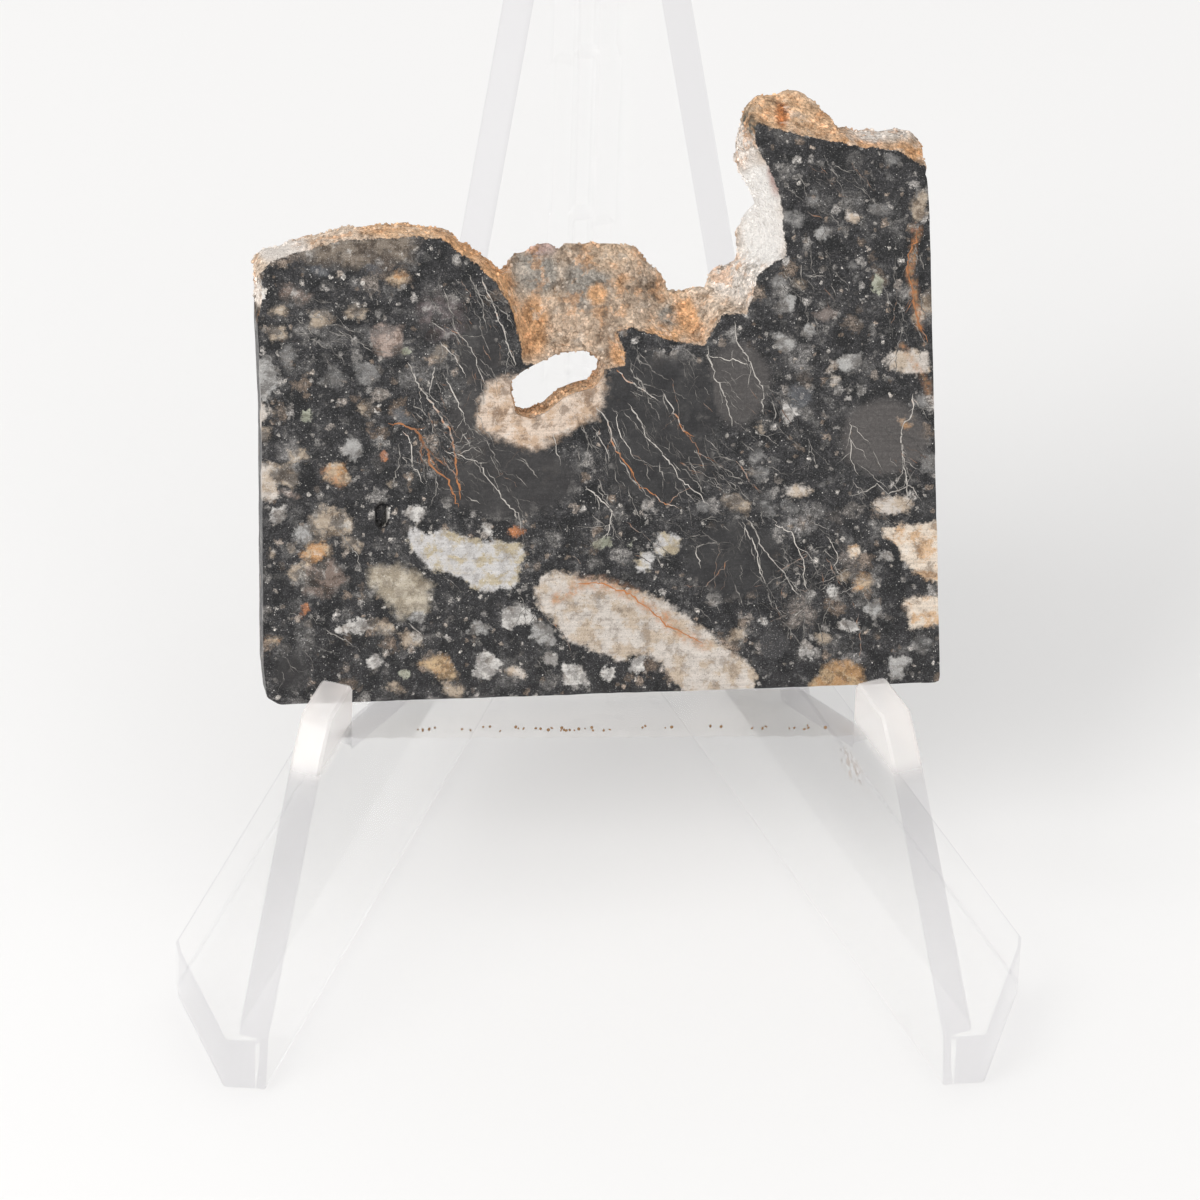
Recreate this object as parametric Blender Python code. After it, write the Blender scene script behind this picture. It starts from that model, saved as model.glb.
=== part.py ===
"""A sawn slice of dark breccia leaning on a small clear folding easel.

Lengths at the top are millimetres. X runs across, Y to the back, Z up from the tabletop.
The easel is two clear wings that meet at an upright hinge behind the slice.
Each wing carries a hook with a seat, and a thin clear film lies across both seats under the slice.
"""
import math

import bmesh
import bpy
from mathutils import Matrix, Vector, noise

MM = 0.001

# Easel
HINGE_Y = 22.28
HALF_OPENING = math.radians(21.3)
PLATE = 1.65
WING_HEIGHT = 52.0
TOP_REACH = 5.1
SUPPORT_SLOPE = 0.54
SEAT_BACK_HEIGHT = 10.45
SEAT_BACK_REACH = TOP_REACH + SUPPORT_SLOPE * (WING_HEIGHT - SEAT_BACK_HEIGHT)
PRONG_BACK_REACH = 35.9
PRONG_BASE_HEIGHT = 13.45
PRONG_TOP_HEIGHT = 17.65
PRONG_DEPTH = 3.3
SHOULDER_REACH = 40.5
SHOULDER_HEIGHT = 16.0
TOE_REACH = 48.7
EDGE_BEVEL = 0.15

# Foot of each wing, standing out from its outer face
FOOT_HEIGHT = 3.2
FOOT_WIDTH = 7.4
FOOT_TOE_WIDTH = 2.1
FOOT_CORNER_REACH = 42.6
FOOT_BACK_REACH = 14.0
FOOT_BACK_TIP = 7.0
FOOT_INSET = 0.4

# Hinge
KNUCKLE_RADIUS = 0.75
KNUCKLE_SIDES = 20
HINGE_FREE = 1.15
KNUCKLE_GAP = 0.35
KNUCKLE_BREAKS = (2.0, 13.5, 24.0, 34.5, 49.0)

# Film across the seats
FILM = 0.3
FILM_LIFT = 0.3
FILM_BACK_REACH = 27.6
FILM_FRONT_GAP = 0.35
SCALLOP_PITCH = 1.35
SCALLOP_DEPTH = 0.28
SCALLOP_STEPS = 4

# Slice
THICKNESS = 3.5
LEAN = math.radians(27.0)
SLICE_TURN = math.radians(2.66)
SLICE_FOOT = (0.3, -6.55, 13.36)
RIM = 0.7
SAWN_SET_BACK = 0.02

# Sheet that the slice is cut from, and the broken surface along its upper edge
SHEET_WIDTH = 37.6
SHEET_HEIGHT = 33.0
SHEET_MIDDLE = (-0.1, 15.5)
GRID = 0.5
BROKEN_ROUGHNESS = 0.32
BROKEN_GRAIN = 1.82
BROKEN_FALL = 0.75
BROKEN_ONSET = 0.8
BROKEN_LEAST = 0.05
BROKEN_FULL_WIDTH = 1.5

# Outline of the whole slice on its sawn face, from the lower left corner round to the right
LEFT_SIDE = [(-17.1, -0.05), (-17.75, 0.35), (-17.9, 2.0), (-17.7, 15.6), (-17.8, 20.2), (-17.75, 23.1)]
LEFT_TOP = [(-17.3, 23.5), (-16.7, 23.6), (-15.9, 24.0), (-14.5, 24.3), (-13.0, 24.6), (-11.3, 24.65),
            (-9.7, 24.65), (-8.2, 24.55), (-7.5, 24.2), (-7.0, 23.7), (-6.1, 23.1), (-5.5, 22.6), (-4.9, 22.1)]
BROKEN_TOP = [(-4.4, 22.2), (-4.0, 22.9), (-3.1, 23.3), (-2.2, 23.4), (-1.9, 23.1), (-1.4, 23.3), (2.0, 23.2),
              (2.9, 22.2), (3.5, 21.5), (3.9, 20.8)]
SADDLE = [(6.0, 20.8), (6.4, 21.6), (7.5, 22.3), (7.8, 23.0), (7.7, 23.7), (8.7, 25.4), (8.4, 26.3),
          (7.6, 27.8), (7.9, 29.5)]
TOWER_TOP = [(8.2, 30.4), (8.9, 30.8), (10.4, 31.1), (11.6, 30.7), (12.9, 29.2), (14.1, 28.8), (15.5, 29.0),
             (16.8, 28.8), (17.3, 28.2)]
RIGHT_SIDE = [(17.5, 24.8), (17.6, 17.1), (17.8, 0.3), (17.7, 0.0)]
OUTLINE = LEFT_SIDE + LEFT_TOP + BROKEN_TOP + SADDLE + TOWER_TOP + RIGHT_SIDE

# Upper border of the flat sawn face; between it and the outline the stone is broken and slopes back
SAWN_LEFT = [(-18.6, 19.5), (-17.9, 19.8), (-17.6, 21.3), (-17.7, 22.8), (-17.2, 23.25), (-15.9, 23.7),
             (-14.5, 24.1), (-13.0, 24.4), (-11.3, 24.45), (-9.7, 24.45), (-8.2, 24.3), (-7.4, 23.75),
             (-6.9, 23.35), (-6.1, 22.75), (-5.3, 21.9), (-4.8, 21.1), (-4.5, 20.2), (-4.2, 19.0), (-3.9, 17.6)]
SAWN_MIDDLE = [(0.4, 17.2), (1.4, 17.3), (1.4, 18.1), (1.0, 19.1), (1.8, 19.4), (3.8, 18.6), (5.6, 18.3),
               (5.9, 19.0), (6.6, 20.0), (7.9, 19.8)]
SAWN_TOWER = [(8.4, 21.8), (9.2, 22.5), (10.0, 22.8), (9.6, 26.3), (9.0, 27.6), (8.4, 29.0), (8.4, 29.9),
              (10.0, 29.4), (12.3, 29.0), (14.1, 28.5), (15.9, 28.3), (17.3, 27.4), (18.6, 27.2)]
SAWN_FACE = [(-18.6, -1.0)] + SAWN_LEFT + SAWN_MIDDLE + SAWN_TOWER + [(18.6, -1.0)]

# Hole through the slice and the small pit in its face
HOLE = [(-4.75, 16.1), (-4.65, 16.8), (-3.5, 17.5), (-2.0, 18.1), (-0.5, 18.2), (0.3, 17.6), (0.3, 16.8),
        (-0.3, 16.2), (-1.8, 15.8), (-2.8, 15.0), (-3.6, 14.7), (-4.4, 15.0)]
PIT_CENTRE = (-11.5, 9.8)
PIT_SIZE = (0.7, 1.35, 1.1)


def clear_scene():
    for thing in list(bpy.data.objects):
        bpy.data.objects.remove(thing, do_unlink=True)


def collection(name):
    group = bpy.data.collections.new(name)
    bpy.context.scene.collection.children.link(group)
    return group


def principled(name, colour, roughness, transmission=0.0, ior=1.5):
    material = bpy.data.materials.new(name)
    material.use_nodes = True
    shader = material.node_tree.nodes["Principled BSDF"]
    shader.inputs["Base Color"].default_value = (*colour, 1.0)
    shader.inputs["Roughness"].default_value = roughness
    shader.inputs["Metallic"].default_value = 0.0
    shader.inputs["Transmission Weight"].default_value = transmission
    shader.inputs["IOR"].default_value = ior
    return material


def mesh_object(name, mesh, group, material=None):
    thing = bpy.data.objects.new(name, mesh)
    group.objects.link(thing)
    if material is not None:
        mesh.materials.clear()
        mesh.materials.append(material)
    return thing


def as_cutter(thing):
    thing.hide_render = True
    thing.display_type = "WIRE"
    return thing


def prism(name, outline, low, high, group):
    """A flat outline in millimetres, filled and extruded from low to high along its own Z, as a welded mesh."""
    curve = bpy.data.curves.new(name, "CURVE")
    curve.dimensions = "2D"
    curve.fill_mode = "BOTH"
    curve.extrude = (high - low) / 2 * MM
    spline = curve.splines.new("POLY")
    spline.points.add(len(outline) - 1)
    for point, (x, y) in zip(spline.points, outline):
        point.co = (x * MM, y * MM, 0.0, 1.0)
    spline.use_cyclic_u = True
    flat = bpy.data.objects.new(name, curve)
    group.objects.link(flat)
    graph = bpy.context.evaluated_depsgraph_get()
    mesh = bpy.data.meshes.new_from_object(flat.evaluated_get(graph))
    bpy.data.objects.remove(flat, do_unlink=True)
    bpy.data.curves.remove(curve)
    form = bmesh.new()
    form.from_mesh(mesh)
    bmesh.ops.remove_doubles(form, verts=form.verts, dist=0.000001)
    bmesh.ops.dissolve_limit(form, angle_limit=0.001, verts=form.verts, edges=form.edges)
    bmesh.ops.translate(form, verts=form.verts, vec=(0.0, 0.0, (low + high) / 2 * MM))
    bmesh.ops.recalc_face_normals(form, faces=form.faces)
    form.to_mesh(mesh)
    form.free()
    return mesh_object(name, mesh, group)


def bevel_mesh(mesh, width):
    form = bmesh.new()
    form.from_mesh(mesh)
    sharp = [edge for edge in form.edges if len(edge.link_faces) == 2 and edge.calc_face_angle() > 0.6]
    bmesh.ops.bevel(form, geom=sharp, offset=width * MM, segments=1, affect="EDGES", clamp_overlap=True)
    form.to_mesh(mesh)
    form.free()


def boolean(thing, cutter, operation):
    step = thing.modifiers.new(cutter.name, "BOOLEAN")
    step.operation = operation
    step.object = cutter
    step.solver = "EXACT"
    return step


def distance_to_ring(point, ring):
    nearest = math.inf
    for start, end in zip(ring, ring[1:] + ring[:1]):
        start = Vector(start)
        along = Vector(end) - start
        share = max(0.0, min(1.0, (point - start).dot(along) / along.length_squared))
        nearest = min(nearest, (point - start - along * share).length)
    return nearest


def inside(point, outline):
    odd = False
    for (ax, ay), (bx, by) in zip(outline, outline[1:] + outline[:1]):
        if (ay > point.y) != (by > point.y):
            crossing = ax + (point.y - ay) / (by - ay) * (bx - ax)
            if point.x < crossing:
                odd = not odd
    return odd


def broken_depth(point):
    """How far the broken surface lies behind the sawn face, from nothing at its border to the rim at the outline."""
    if inside(point, SAWN_FACE):
        return 0.0
    to_face = distance_to_ring(point, SAWN_FACE)
    to_outline = distance_to_ring(point, OUTLINE) if inside(point, OUTLINE) else 0.0
    share = to_face / max(BROKEN_LEAST, to_face + to_outline)
    depth = (THICKNESS - RIM) * share ** BROKEN_FALL * min(1.0, (to_face + to_outline) / BROKEN_FULL_WIDTH)
    rough = noise.fractal(Vector((point.x, point.y, 4.0)) / BROKEN_GRAIN, 1.0, 2.0, 3)
    depth += BROKEN_ROUGHNESS * rough * min(1.0, to_face / BROKEN_ONSET)
    return max(BROKEN_LEAST, min(THICKNESS - RIM, depth))


def slice_place():
    place = Matrix.Translation(Vector(SLICE_FOOT) * MM)
    turn = Matrix.Rotation(SLICE_TURN, 4, "Z")
    tilt = Matrix.Rotation(math.radians(90.0) - LEAN, 4, "X")
    return place @ turn @ tilt


def make_slice(group, cutters, material):
    """The stone lies in its own frame with the sawn face at Z = 0 and its back at Z = -THICKNESS."""
    columns = round(SHEET_WIDTH / GRID)
    rows = round(SHEET_HEIGHT / GRID)
    form = bmesh.new()
    bmesh.ops.create_grid(form, x_segments=columns, y_segments=rows, size=0.5)
    for vertex in form.verts:
        vertex.co.x = vertex.co.x * SHEET_WIDTH + SHEET_MIDDLE[0]
        vertex.co.y = vertex.co.y * SHEET_HEIGHT + SHEET_MIDDLE[1]
    border = [edge for edge in form.edges if edge.is_boundary]
    wall = bmesh.ops.extrude_edge_only(form, edges=border)
    low = [part for part in wall["geom"] if isinstance(part, bmesh.types.BMVert)]
    for vertex in low:
        vertex.co.z = -THICKNESS
    rim_edges = [part for part in wall["geom"] if isinstance(part, bmesh.types.BMEdge) and part.is_boundary]
    bmesh.ops.contextual_create(form, geom=rim_edges)
    for vertex in form.verts:
        if vertex.co.z > -THICKNESS / 2:
            vertex.co.z = -broken_depth(Vector((vertex.co.x, vertex.co.y)))
    bmesh.ops.scale(form, verts=form.verts, vec=(MM, MM, MM))
    bmesh.ops.recalc_face_normals(form, faces=form.faces)
    mesh = bpy.data.meshes.new("slice")
    form.to_mesh(mesh)
    form.free()
    stone = mesh_object("slice", mesh, group, material)
    place = slice_place()
    stone.matrix_world = place

    sawn = as_cutter(prism("slice_outline", OUTLINE, -THICKNESS - 1.0, -SAWN_SET_BACK, cutters))
    sawn.matrix_world = place
    boolean(stone, sawn, "INTERSECT")

    hole = as_cutter(prism("slice_hole", HOLE, -THICKNESS - 2.0, 2.0, cutters))
    hole.matrix_world = place
    boolean(stone, hole, "DIFFERENCE")

    ball = bmesh.new()
    bmesh.ops.create_uvsphere(ball, u_segments=16, v_segments=8, radius=0.5)
    bmesh.ops.scale(ball, verts=ball.verts, vec=[size * MM for size in PIT_SIZE])
    pit_mesh = bpy.data.meshes.new("slice_pit")
    ball.to_mesh(pit_mesh)
    ball.free()
    pit = as_cutter(mesh_object("slice_pit", pit_mesh, cutters))
    pit.matrix_world = place @ Matrix.Translation(Vector((*PIT_CENTRE, 0.0)) * MM)
    boolean(stone, pit, "DIFFERENCE")


def wing_profile(side):
    """The plate seen from its side: reach from the hinge, height. The hinge edge steps in where the other wing's
    knuckles turn."""
    edge = [(HINGE_FREE, 0.0)]
    for index in range(len(KNUCKLE_BREAKS) - 1):
        if (index % 2 == 0) == (side < 0):
            low = KNUCKLE_BREAKS[index] + KNUCKLE_GAP / 2
            high = KNUCKLE_BREAKS[index + 1] - KNUCKLE_GAP / 2
            edge += [(HINGE_FREE, low), (0.0, low), (0.0, high), (HINGE_FREE, high)]
    edge.append((HINGE_FREE, WING_HEIGHT - 0.6))
    top = [(HINGE_FREE + 0.6, WING_HEIGHT), (TOP_REACH - 0.7, WING_HEIGHT), (TOP_REACH + 0.1, WING_HEIGHT - 0.8)]
    seat = [(SEAT_BACK_REACH, SEAT_BACK_HEIGHT), (PRONG_BACK_REACH, PRONG_BASE_HEIGHT)]
    prong = [(PRONG_BACK_REACH, PRONG_TOP_HEIGHT - 0.3), (PRONG_BACK_REACH + 0.3, PRONG_TOP_HEIGHT),
             (PRONG_BACK_REACH + PRONG_DEPTH, PRONG_TOP_HEIGHT), (SHOULDER_REACH, SHOULDER_HEIGHT)]
    toe = [(TOE_REACH - 0.3, FOOT_HEIGHT), (TOE_REACH, 0.0)]
    return edge + top + seat + prong + toe


def wing_frame(side):
    """Turns the plate's own frame (reach, height, thickness) into the easel's."""
    reach = Vector((side * math.sin(HALF_OPENING), -math.cos(HALF_OPENING), 0.0))
    up = Vector((0.0, 0.0, 1.0))
    across = reach.cross(up)
    turn = Matrix((reach, up, across)).transposed().to_4x4()
    return Matrix.Translation((0.0, HINGE_Y * MM, 0.0)) @ turn


def foot_outline():
    """The foot from above: reach along the plate, distance out from its inner face."""
    return [(FOOT_BACK_TIP, FOOT_INSET), (TOE_REACH, FOOT_INSET), (TOE_REACH + 0.5, FOOT_TOE_WIDTH),
            (FOOT_CORNER_REACH + 0.6, FOOT_WIDTH - 0.5), (FOOT_CORNER_REACH - 0.3, FOOT_WIDTH),
            (FOOT_BACK_REACH, FOOT_WIDTH), (FOOT_BACK_TIP, PLATE + FOOT_INSET)]


def make_wing(name, side, group, cutters, material):
    low, high = (0.0, PLATE) if side < 0 else (-PLATE, 0.0)
    wing = prism(name, wing_profile(side), low, high, group)
    bevel_mesh(wing.data, EDGE_BEVEL)
    wing.data.materials.append(material)
    frame = wing_frame(side)
    wing.matrix_world = frame

    # The foot's outline runs on Z in its own frame, so reach stays X and the outward distance becomes Y
    foot = prism(name + "_foot", [(reach, side * out) for reach, out in foot_outline()], 0.0, FOOT_HEIGHT, cutters)
    bevel_mesh(foot.data, EDGE_BEVEL)
    reach_way = Vector((side * math.sin(HALF_OPENING), -math.cos(HALF_OPENING), 0.0))
    up = Vector((0.0, 0.0, 1.0))
    turn = Matrix((reach_way, up.cross(reach_way), up)).transposed().to_4x4()
    foot.matrix_world = Matrix.Translation((0.0, HINGE_Y * MM, 0.0)) @ turn
    boolean(wing, as_cutter(foot), "UNION")

    for index in range(len(KNUCKLE_BREAKS) - 1):
        if (index % 2 == 0) != (side < 0):
            continue
        bottom = KNUCKLE_BREAKS[index] + KNUCKLE_GAP / 2 + 0.03
        top = KNUCKLE_BREAKS[index + 1] - KNUCKLE_GAP / 2 - 0.03
        barrel = bmesh.new()
        bmesh.ops.create_cone(barrel, cap_ends=True, segments=KNUCKLE_SIDES, radius1=KNUCKLE_RADIUS * MM,
                              radius2=KNUCKLE_RADIUS * MM, depth=(top - bottom) * MM)
        mesh = bpy.data.meshes.new(name + "_knuckle")
        barrel.to_mesh(mesh)
        barrel.free()
        knuckle = mesh_object(name + "_knuckle_%d" % index, mesh, cutters)
        knuckle.location = (0.0, HINGE_Y * MM, (top + bottom) / 2 * MM)
        boolean(wing, as_cutter(knuckle), "UNION")


def seat_slope():
    rise = PRONG_BASE_HEIGHT - SEAT_BACK_HEIGHT
    run = (PRONG_BACK_REACH - SEAT_BACK_REACH) * math.cos(HALF_OPENING)
    return math.atan2(rise, run)


def make_film(group, material):
    """A thin clear film on both seats: straight at the back, torn to small scallops at the front."""
    slope = seat_slope()
    middle = 0.5 * PLATE / math.cos(HALF_OPENING)
    back = FILM_BACK_REACH * math.cos(HALF_OPENING)
    front = PRONG_BACK_REACH * math.cos(HALF_OPENING) - FILM_FRONT_GAP
    half_back = back * math.tan(HALF_OPENING) + middle
    half_front = front * math.tan(HALF_OPENING) + middle
    run = (front - back) / math.cos(slope)
    scallops = round(2 * half_front / SCALLOP_PITCH)
    edge = []
    for index in range(scallops * SCALLOP_STEPS + 1):
        share = index / (scallops * SCALLOP_STEPS)
        bow = abs(math.sin(math.pi * share * scallops))
        edge.append((-half_front + 2 * half_front * share, -run + SCALLOP_DEPTH * bow))
    outline = edge + [(half_back, 0.0), (-half_back, 0.0)]
    film = prism("seat_film", outline, FILM_LIFT, FILM_LIFT + FILM, group)
    film.data.materials.append(material)
    seat_back = SEAT_BACK_REACH * math.cos(HALF_OPENING)
    height = SEAT_BACK_HEIGHT + (back - seat_back) * math.tan(slope)
    place = Matrix.Translation(Vector((0.0, HINGE_Y - back, height)) * MM)
    film.matrix_world = place @ Matrix.Rotation(-slope, 4, "X")


def main():
    clear_scene()
    model = collection("meteorite_slice_on_easel")
    cutters = collection("cutters")
    stone = principled("sawn_breccia", (0.045, 0.043, 0.042), 0.42)
    plastic = principled("clear_plastic", (0.97, 0.97, 0.98), 0.04, transmission=1.0, ior=1.49)
    film = principled("clear_film", (0.93, 0.90, 0.86), 0.12, transmission=1.0, ior=1.46)
    make_slice(model, cutters, stone)
    make_wing("easel_left_wing", -1, model, cutters, plastic)
    make_wing("easel_right_wing", 1, model, cutters, plastic.copy())
    make_film(model, film)


main()
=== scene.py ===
"""Looks of a sawn slice of dark breccia that leans on a small clear folding easel.

The stone is laid out in its own frame, in millimetres: across to the right, up the sawn face,
and out of that face towards the viewer. Everything else is in metres, in the frame of the model.
"""

import math
from collections import namedtuple

import bmesh
import bpy
import numpy as np
from mathutils import Matrix, Vector


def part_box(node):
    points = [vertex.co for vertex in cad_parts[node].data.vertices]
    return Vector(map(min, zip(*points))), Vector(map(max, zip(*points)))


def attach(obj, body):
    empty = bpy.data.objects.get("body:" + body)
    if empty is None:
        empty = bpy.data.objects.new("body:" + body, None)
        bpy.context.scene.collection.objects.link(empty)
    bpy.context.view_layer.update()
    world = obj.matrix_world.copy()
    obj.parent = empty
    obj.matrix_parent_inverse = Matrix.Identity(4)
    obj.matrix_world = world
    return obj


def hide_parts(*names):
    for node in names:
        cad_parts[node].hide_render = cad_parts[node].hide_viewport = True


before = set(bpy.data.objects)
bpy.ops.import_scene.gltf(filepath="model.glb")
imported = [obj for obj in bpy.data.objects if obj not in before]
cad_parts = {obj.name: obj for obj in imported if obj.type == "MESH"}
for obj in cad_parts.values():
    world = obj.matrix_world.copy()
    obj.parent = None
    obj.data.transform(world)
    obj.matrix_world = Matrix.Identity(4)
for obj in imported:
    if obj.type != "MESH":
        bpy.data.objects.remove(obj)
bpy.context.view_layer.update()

MM = 0.001

# Where the stone stands: the foot of its sawn face, its turn and its lean
SLICE_FOOT = (0.3, -6.55, 13.36)
SLICE_TURN = math.radians(2.66)
LEAN = math.radians(27.0)
THICKNESS = 3.5
RIM = 0.7

# Fineness of the stone's surface
CELL = 0.15
WALL_RINGS = 9

# Outline of the stone, from the lower left corner round to the right
LEFT_SIDE = [(-17.1, -0.05), (-17.75, 0.35), (-17.9, 2.0), (-17.7, 15.6), (-17.8, 20.2), (-17.75, 23.1)]
LEFT_TOP = [(-17.3, 23.5), (-16.7, 23.6), (-15.9, 24.0), (-14.5, 24.3), (-13.0, 24.6), (-11.3, 24.65),
            (-9.7, 24.65), (-8.2, 24.55), (-7.5, 24.2), (-7.0, 23.7), (-6.1, 23.1), (-5.5, 22.6), (-4.9, 22.1)]
BROKEN_TOP = [(-4.4, 22.2), (-4.0, 22.9), (-3.1, 23.3), (-2.2, 23.4), (-1.9, 23.1), (-1.4, 23.3), (2.0, 23.2),
              (2.9, 22.2), (3.5, 21.5), (3.9, 20.8)]
SADDLE = [(6.0, 20.8), (6.4, 21.6), (7.5, 22.3), (7.8, 23.0), (7.7, 23.7), (8.7, 25.4), (8.4, 26.3),
          (7.6, 27.8), (7.9, 29.5)]
TOWER_TOP = [(8.2, 30.4), (8.9, 30.8), (10.4, 31.1), (11.6, 30.7), (12.9, 29.2), (14.1, 28.8), (15.5, 29.0),
             (16.8, 28.8), (17.3, 28.2)]
RIGHT_SIDE = [(17.5, 24.8), (17.6, 17.1), (17.8, 0.3), (17.7, 0.0)]
OUTLINE = LEFT_SIDE + LEFT_TOP + BROKEN_TOP + SADDLE + TOWER_TOP + RIGHT_SIDE
SAWN_SIDE_REACH = 16.9
SAWN_SIDE_TOP = 27.0
SAWN_FOOT = 0.6

# Upper border of the flat sawn face
SAWN_LEFT = [(-18.6, 19.5), (-17.9, 19.8), (-17.6, 21.3), (-17.7, 22.8), (-17.2, 23.25), (-15.9, 23.7),
             (-14.5, 24.1), (-13.0, 24.4), (-11.3, 24.45), (-9.7, 24.45), (-8.2, 24.3), (-7.4, 23.75),
             (-6.9, 23.35), (-6.1, 22.75), (-5.3, 21.9), (-4.8, 21.1), (-4.5, 20.2), (-4.2, 19.0), (-3.9, 17.6)]
SAWN_MIDDLE = [(0.4, 17.2), (1.4, 17.3), (1.4, 18.1), (1.0, 19.1), (1.8, 19.4), (3.8, 18.6), (5.6, 18.3),
               (5.9, 19.0), (6.6, 20.0), (7.9, 19.8)]
SAWN_TOWER = [(8.4, 21.8), (9.2, 22.5), (10.0, 22.8), (9.6, 26.3), (9.0, 27.6), (8.4, 29.0), (8.4, 29.9),
              (10.0, 29.4), (12.3, 29.0), (14.1, 28.5), (15.9, 28.3), (17.3, 27.4), (18.6, 27.2)]
SAWN_FACE = [(-18.6, -1.0)] + SAWN_LEFT + SAWN_MIDDLE + SAWN_TOWER + [(18.6, -1.0)]

HOLE = [(-4.75, 16.1), (-4.65, 16.8), (-3.5, 17.5), (-2.0, 18.1), (-0.5, 18.2), (0.3, 17.6), (0.3, 16.8),
        (-0.3, 16.2), (-1.8, 15.8), (-2.8, 15.0), (-3.6, 14.7), (-4.4, 15.0)]
PIT = (-11.5, 9.8, 0.35, 0.68)
PIT_DEPTH = 0.55

# Colours are given as they look in daylight, two hexadecimal digits each for red, green and blue
# A stone of the breccia: its colour, a second colour in it, how far its border fades, how mottled it is,
# and how much it covers
Stone = namedtuple("Stone", "colour second fade mottle cover")
STONES = {
    "cream": Stone("cac1b8", "bcab98", 0.14, 0.55, 0.97),
    "pinkish_cream": Stone("d8c4b2", "c4a88e", 0.30, 0.8, 0.97),
    "bluish_cream": Stone("c3c0be", "b5a88f", 0.12, 0.45, 1.0),
    # Chalk white: the stone's own pale pieces, and in the right half of the pit also painted highlight where its wall
    # faces the key light
    "chalk_and_pit_highlight": Stone("dcd8d2", "cfc8be", 0.05, 0.2, 1.0),
    "white": Stone("cfcbc6", "96928e", 0.10, 0.8, 0.92),
    "grey": Stone("83817f", "5b5a59", 0.16, 0.6, 0.8),
    "pale_grey": Stone("acaaa7", "7b7875", 0.12, 0.7, 0.88),
    "slate_blue": Stone("66686b", "55565a", 0.16, 0.3, 0.7),
    "smooth_dark": Stone("3e3d3e", "353435", 0.10, 0.05, 0.9),
    "tan": Stone("b0a08d", "736b63", 0.16, 0.9, 0.9),
    "pinkish_tan": Stone("b09d92", "7d726c", 0.22, 0.9, 0.9),
    "orange_tan": Stone("c0aa90", "bf9265", 0.20, 0.9, 0.95),
    "sandy": Stone("c0a581", "b08a60", 0.24, 0.9, 0.95),
    "soft_tan": Stone("bdb2a0", "9f9380", 0.30, 0.6, 0.92),
    "peach": Stone("d9cab9", "cdab88", 0.14, 0.8, 1.0),
    "rust": Stone("b8794e", "9c6c52", 0.10, 0.6, 0.9),
    # Not a stone of the breccia: near-black painted shadow for the left half of the pit, which is turned away from the
    # key light
    "pit_shadow": Stone("15130f", "15130f", 0.06, 0.1, 1.0),
    "moss_cream": Stone("b3b4a2", "8f917f", 0.08, 0.7, 0.85),
    "brown_crumble": Stone("85746a", "4f4944", 0.28, 1.0, 0.85),
    # A soft, darker grey-brown, laid along the top left just under the crust
    "grey_brown_band": Stone("85796c", "5a5047", 0.40, 1.0, 0.9),
    "veined_breccia": Stone("746969", "464343", 0.4, 1.0, 0.65),
}

# Large pieces by their outlines
BIG_PIECES = [
    ("bluish_cream", [(-10.3, 8.8), (-10.0, 9.1), (-8.5, 8.9), (-6.9, 8.5), (-5.4, 8.3), (-4.1, 8.0),
                      (-4.1, 7.2), (-4.5, 6.0), (-5.1, 5.6), (-6.5, 5.8), (-7.5, 6.3), (-9.1, 7.1), (-10.0, 7.8)]),
    ("cream", [(-3.5, 5.4), (-3.2, 6.2), (-2.5, 6.7), (-0.8, 6.2), (0.6, 5.8), (3.0, 5.0), (4.7, 3.9),
               (6.0, 2.6), (7.8, 1.3), (8.1, 0.7), (7.7, -0.3), (4.3, -0.3), (3.1, 1.4), (2.2, 1.9),
               (0.5, 1.8), (-1.6, 2.8), (-3.3, 4.5)]),
    ("soft_tan", [(-12.3, 7.0), (-10.8, 7.1), (-9.0, 6.1), (-9.3, 4.5), (-10.7, 4.5), (-12.2, 6.2)]),
    ("pinkish_cream", [(-4.8, 17.0), (-5.7, 16.8), (-6.3, 15.8), (-6.5, 14.2), (-5.1, 13.5), (-3.7, 13.0),
               (-2.1, 13.8), (-0.2, 14.7), (0.3, 16.1), (0.2, 17.3), (-2.0, 17.0)]),
    ("peach", [(14.9, 8.2), (15.8, 8.5), (18.1, 8.5), (18.1, 5.3), (17.0, 5.5), (16.2, 6.3), (15.7, 7.4)]),
    ("peach", [(16.0, 4.5), (18.1, 4.7), (18.1, 3.0), (16.3, 3.0)]),
    ("sandy", [(10.8, -0.3), (11.6, 0.8), (12.3, 1.2), (13.0, 1.3), (13.6, 0.9), (13.9, -0.3)]),
    ("cream", [(14.2, 9.8), (15.0, 10.1), (16.4, 10.0), (16.3, 9.1), (14.7, 9.1)]),
    # A soft, darker grey-brown band on the sawn face, just under the crust at the top left
    ("grey_brown_band", [(-16.2, 24.2), (-14.6, 23.1), (-12.6, 22.9), (-11.2, 23.2), (-9.8, 23.2), (-9.4, 24.8)]),
]

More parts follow.
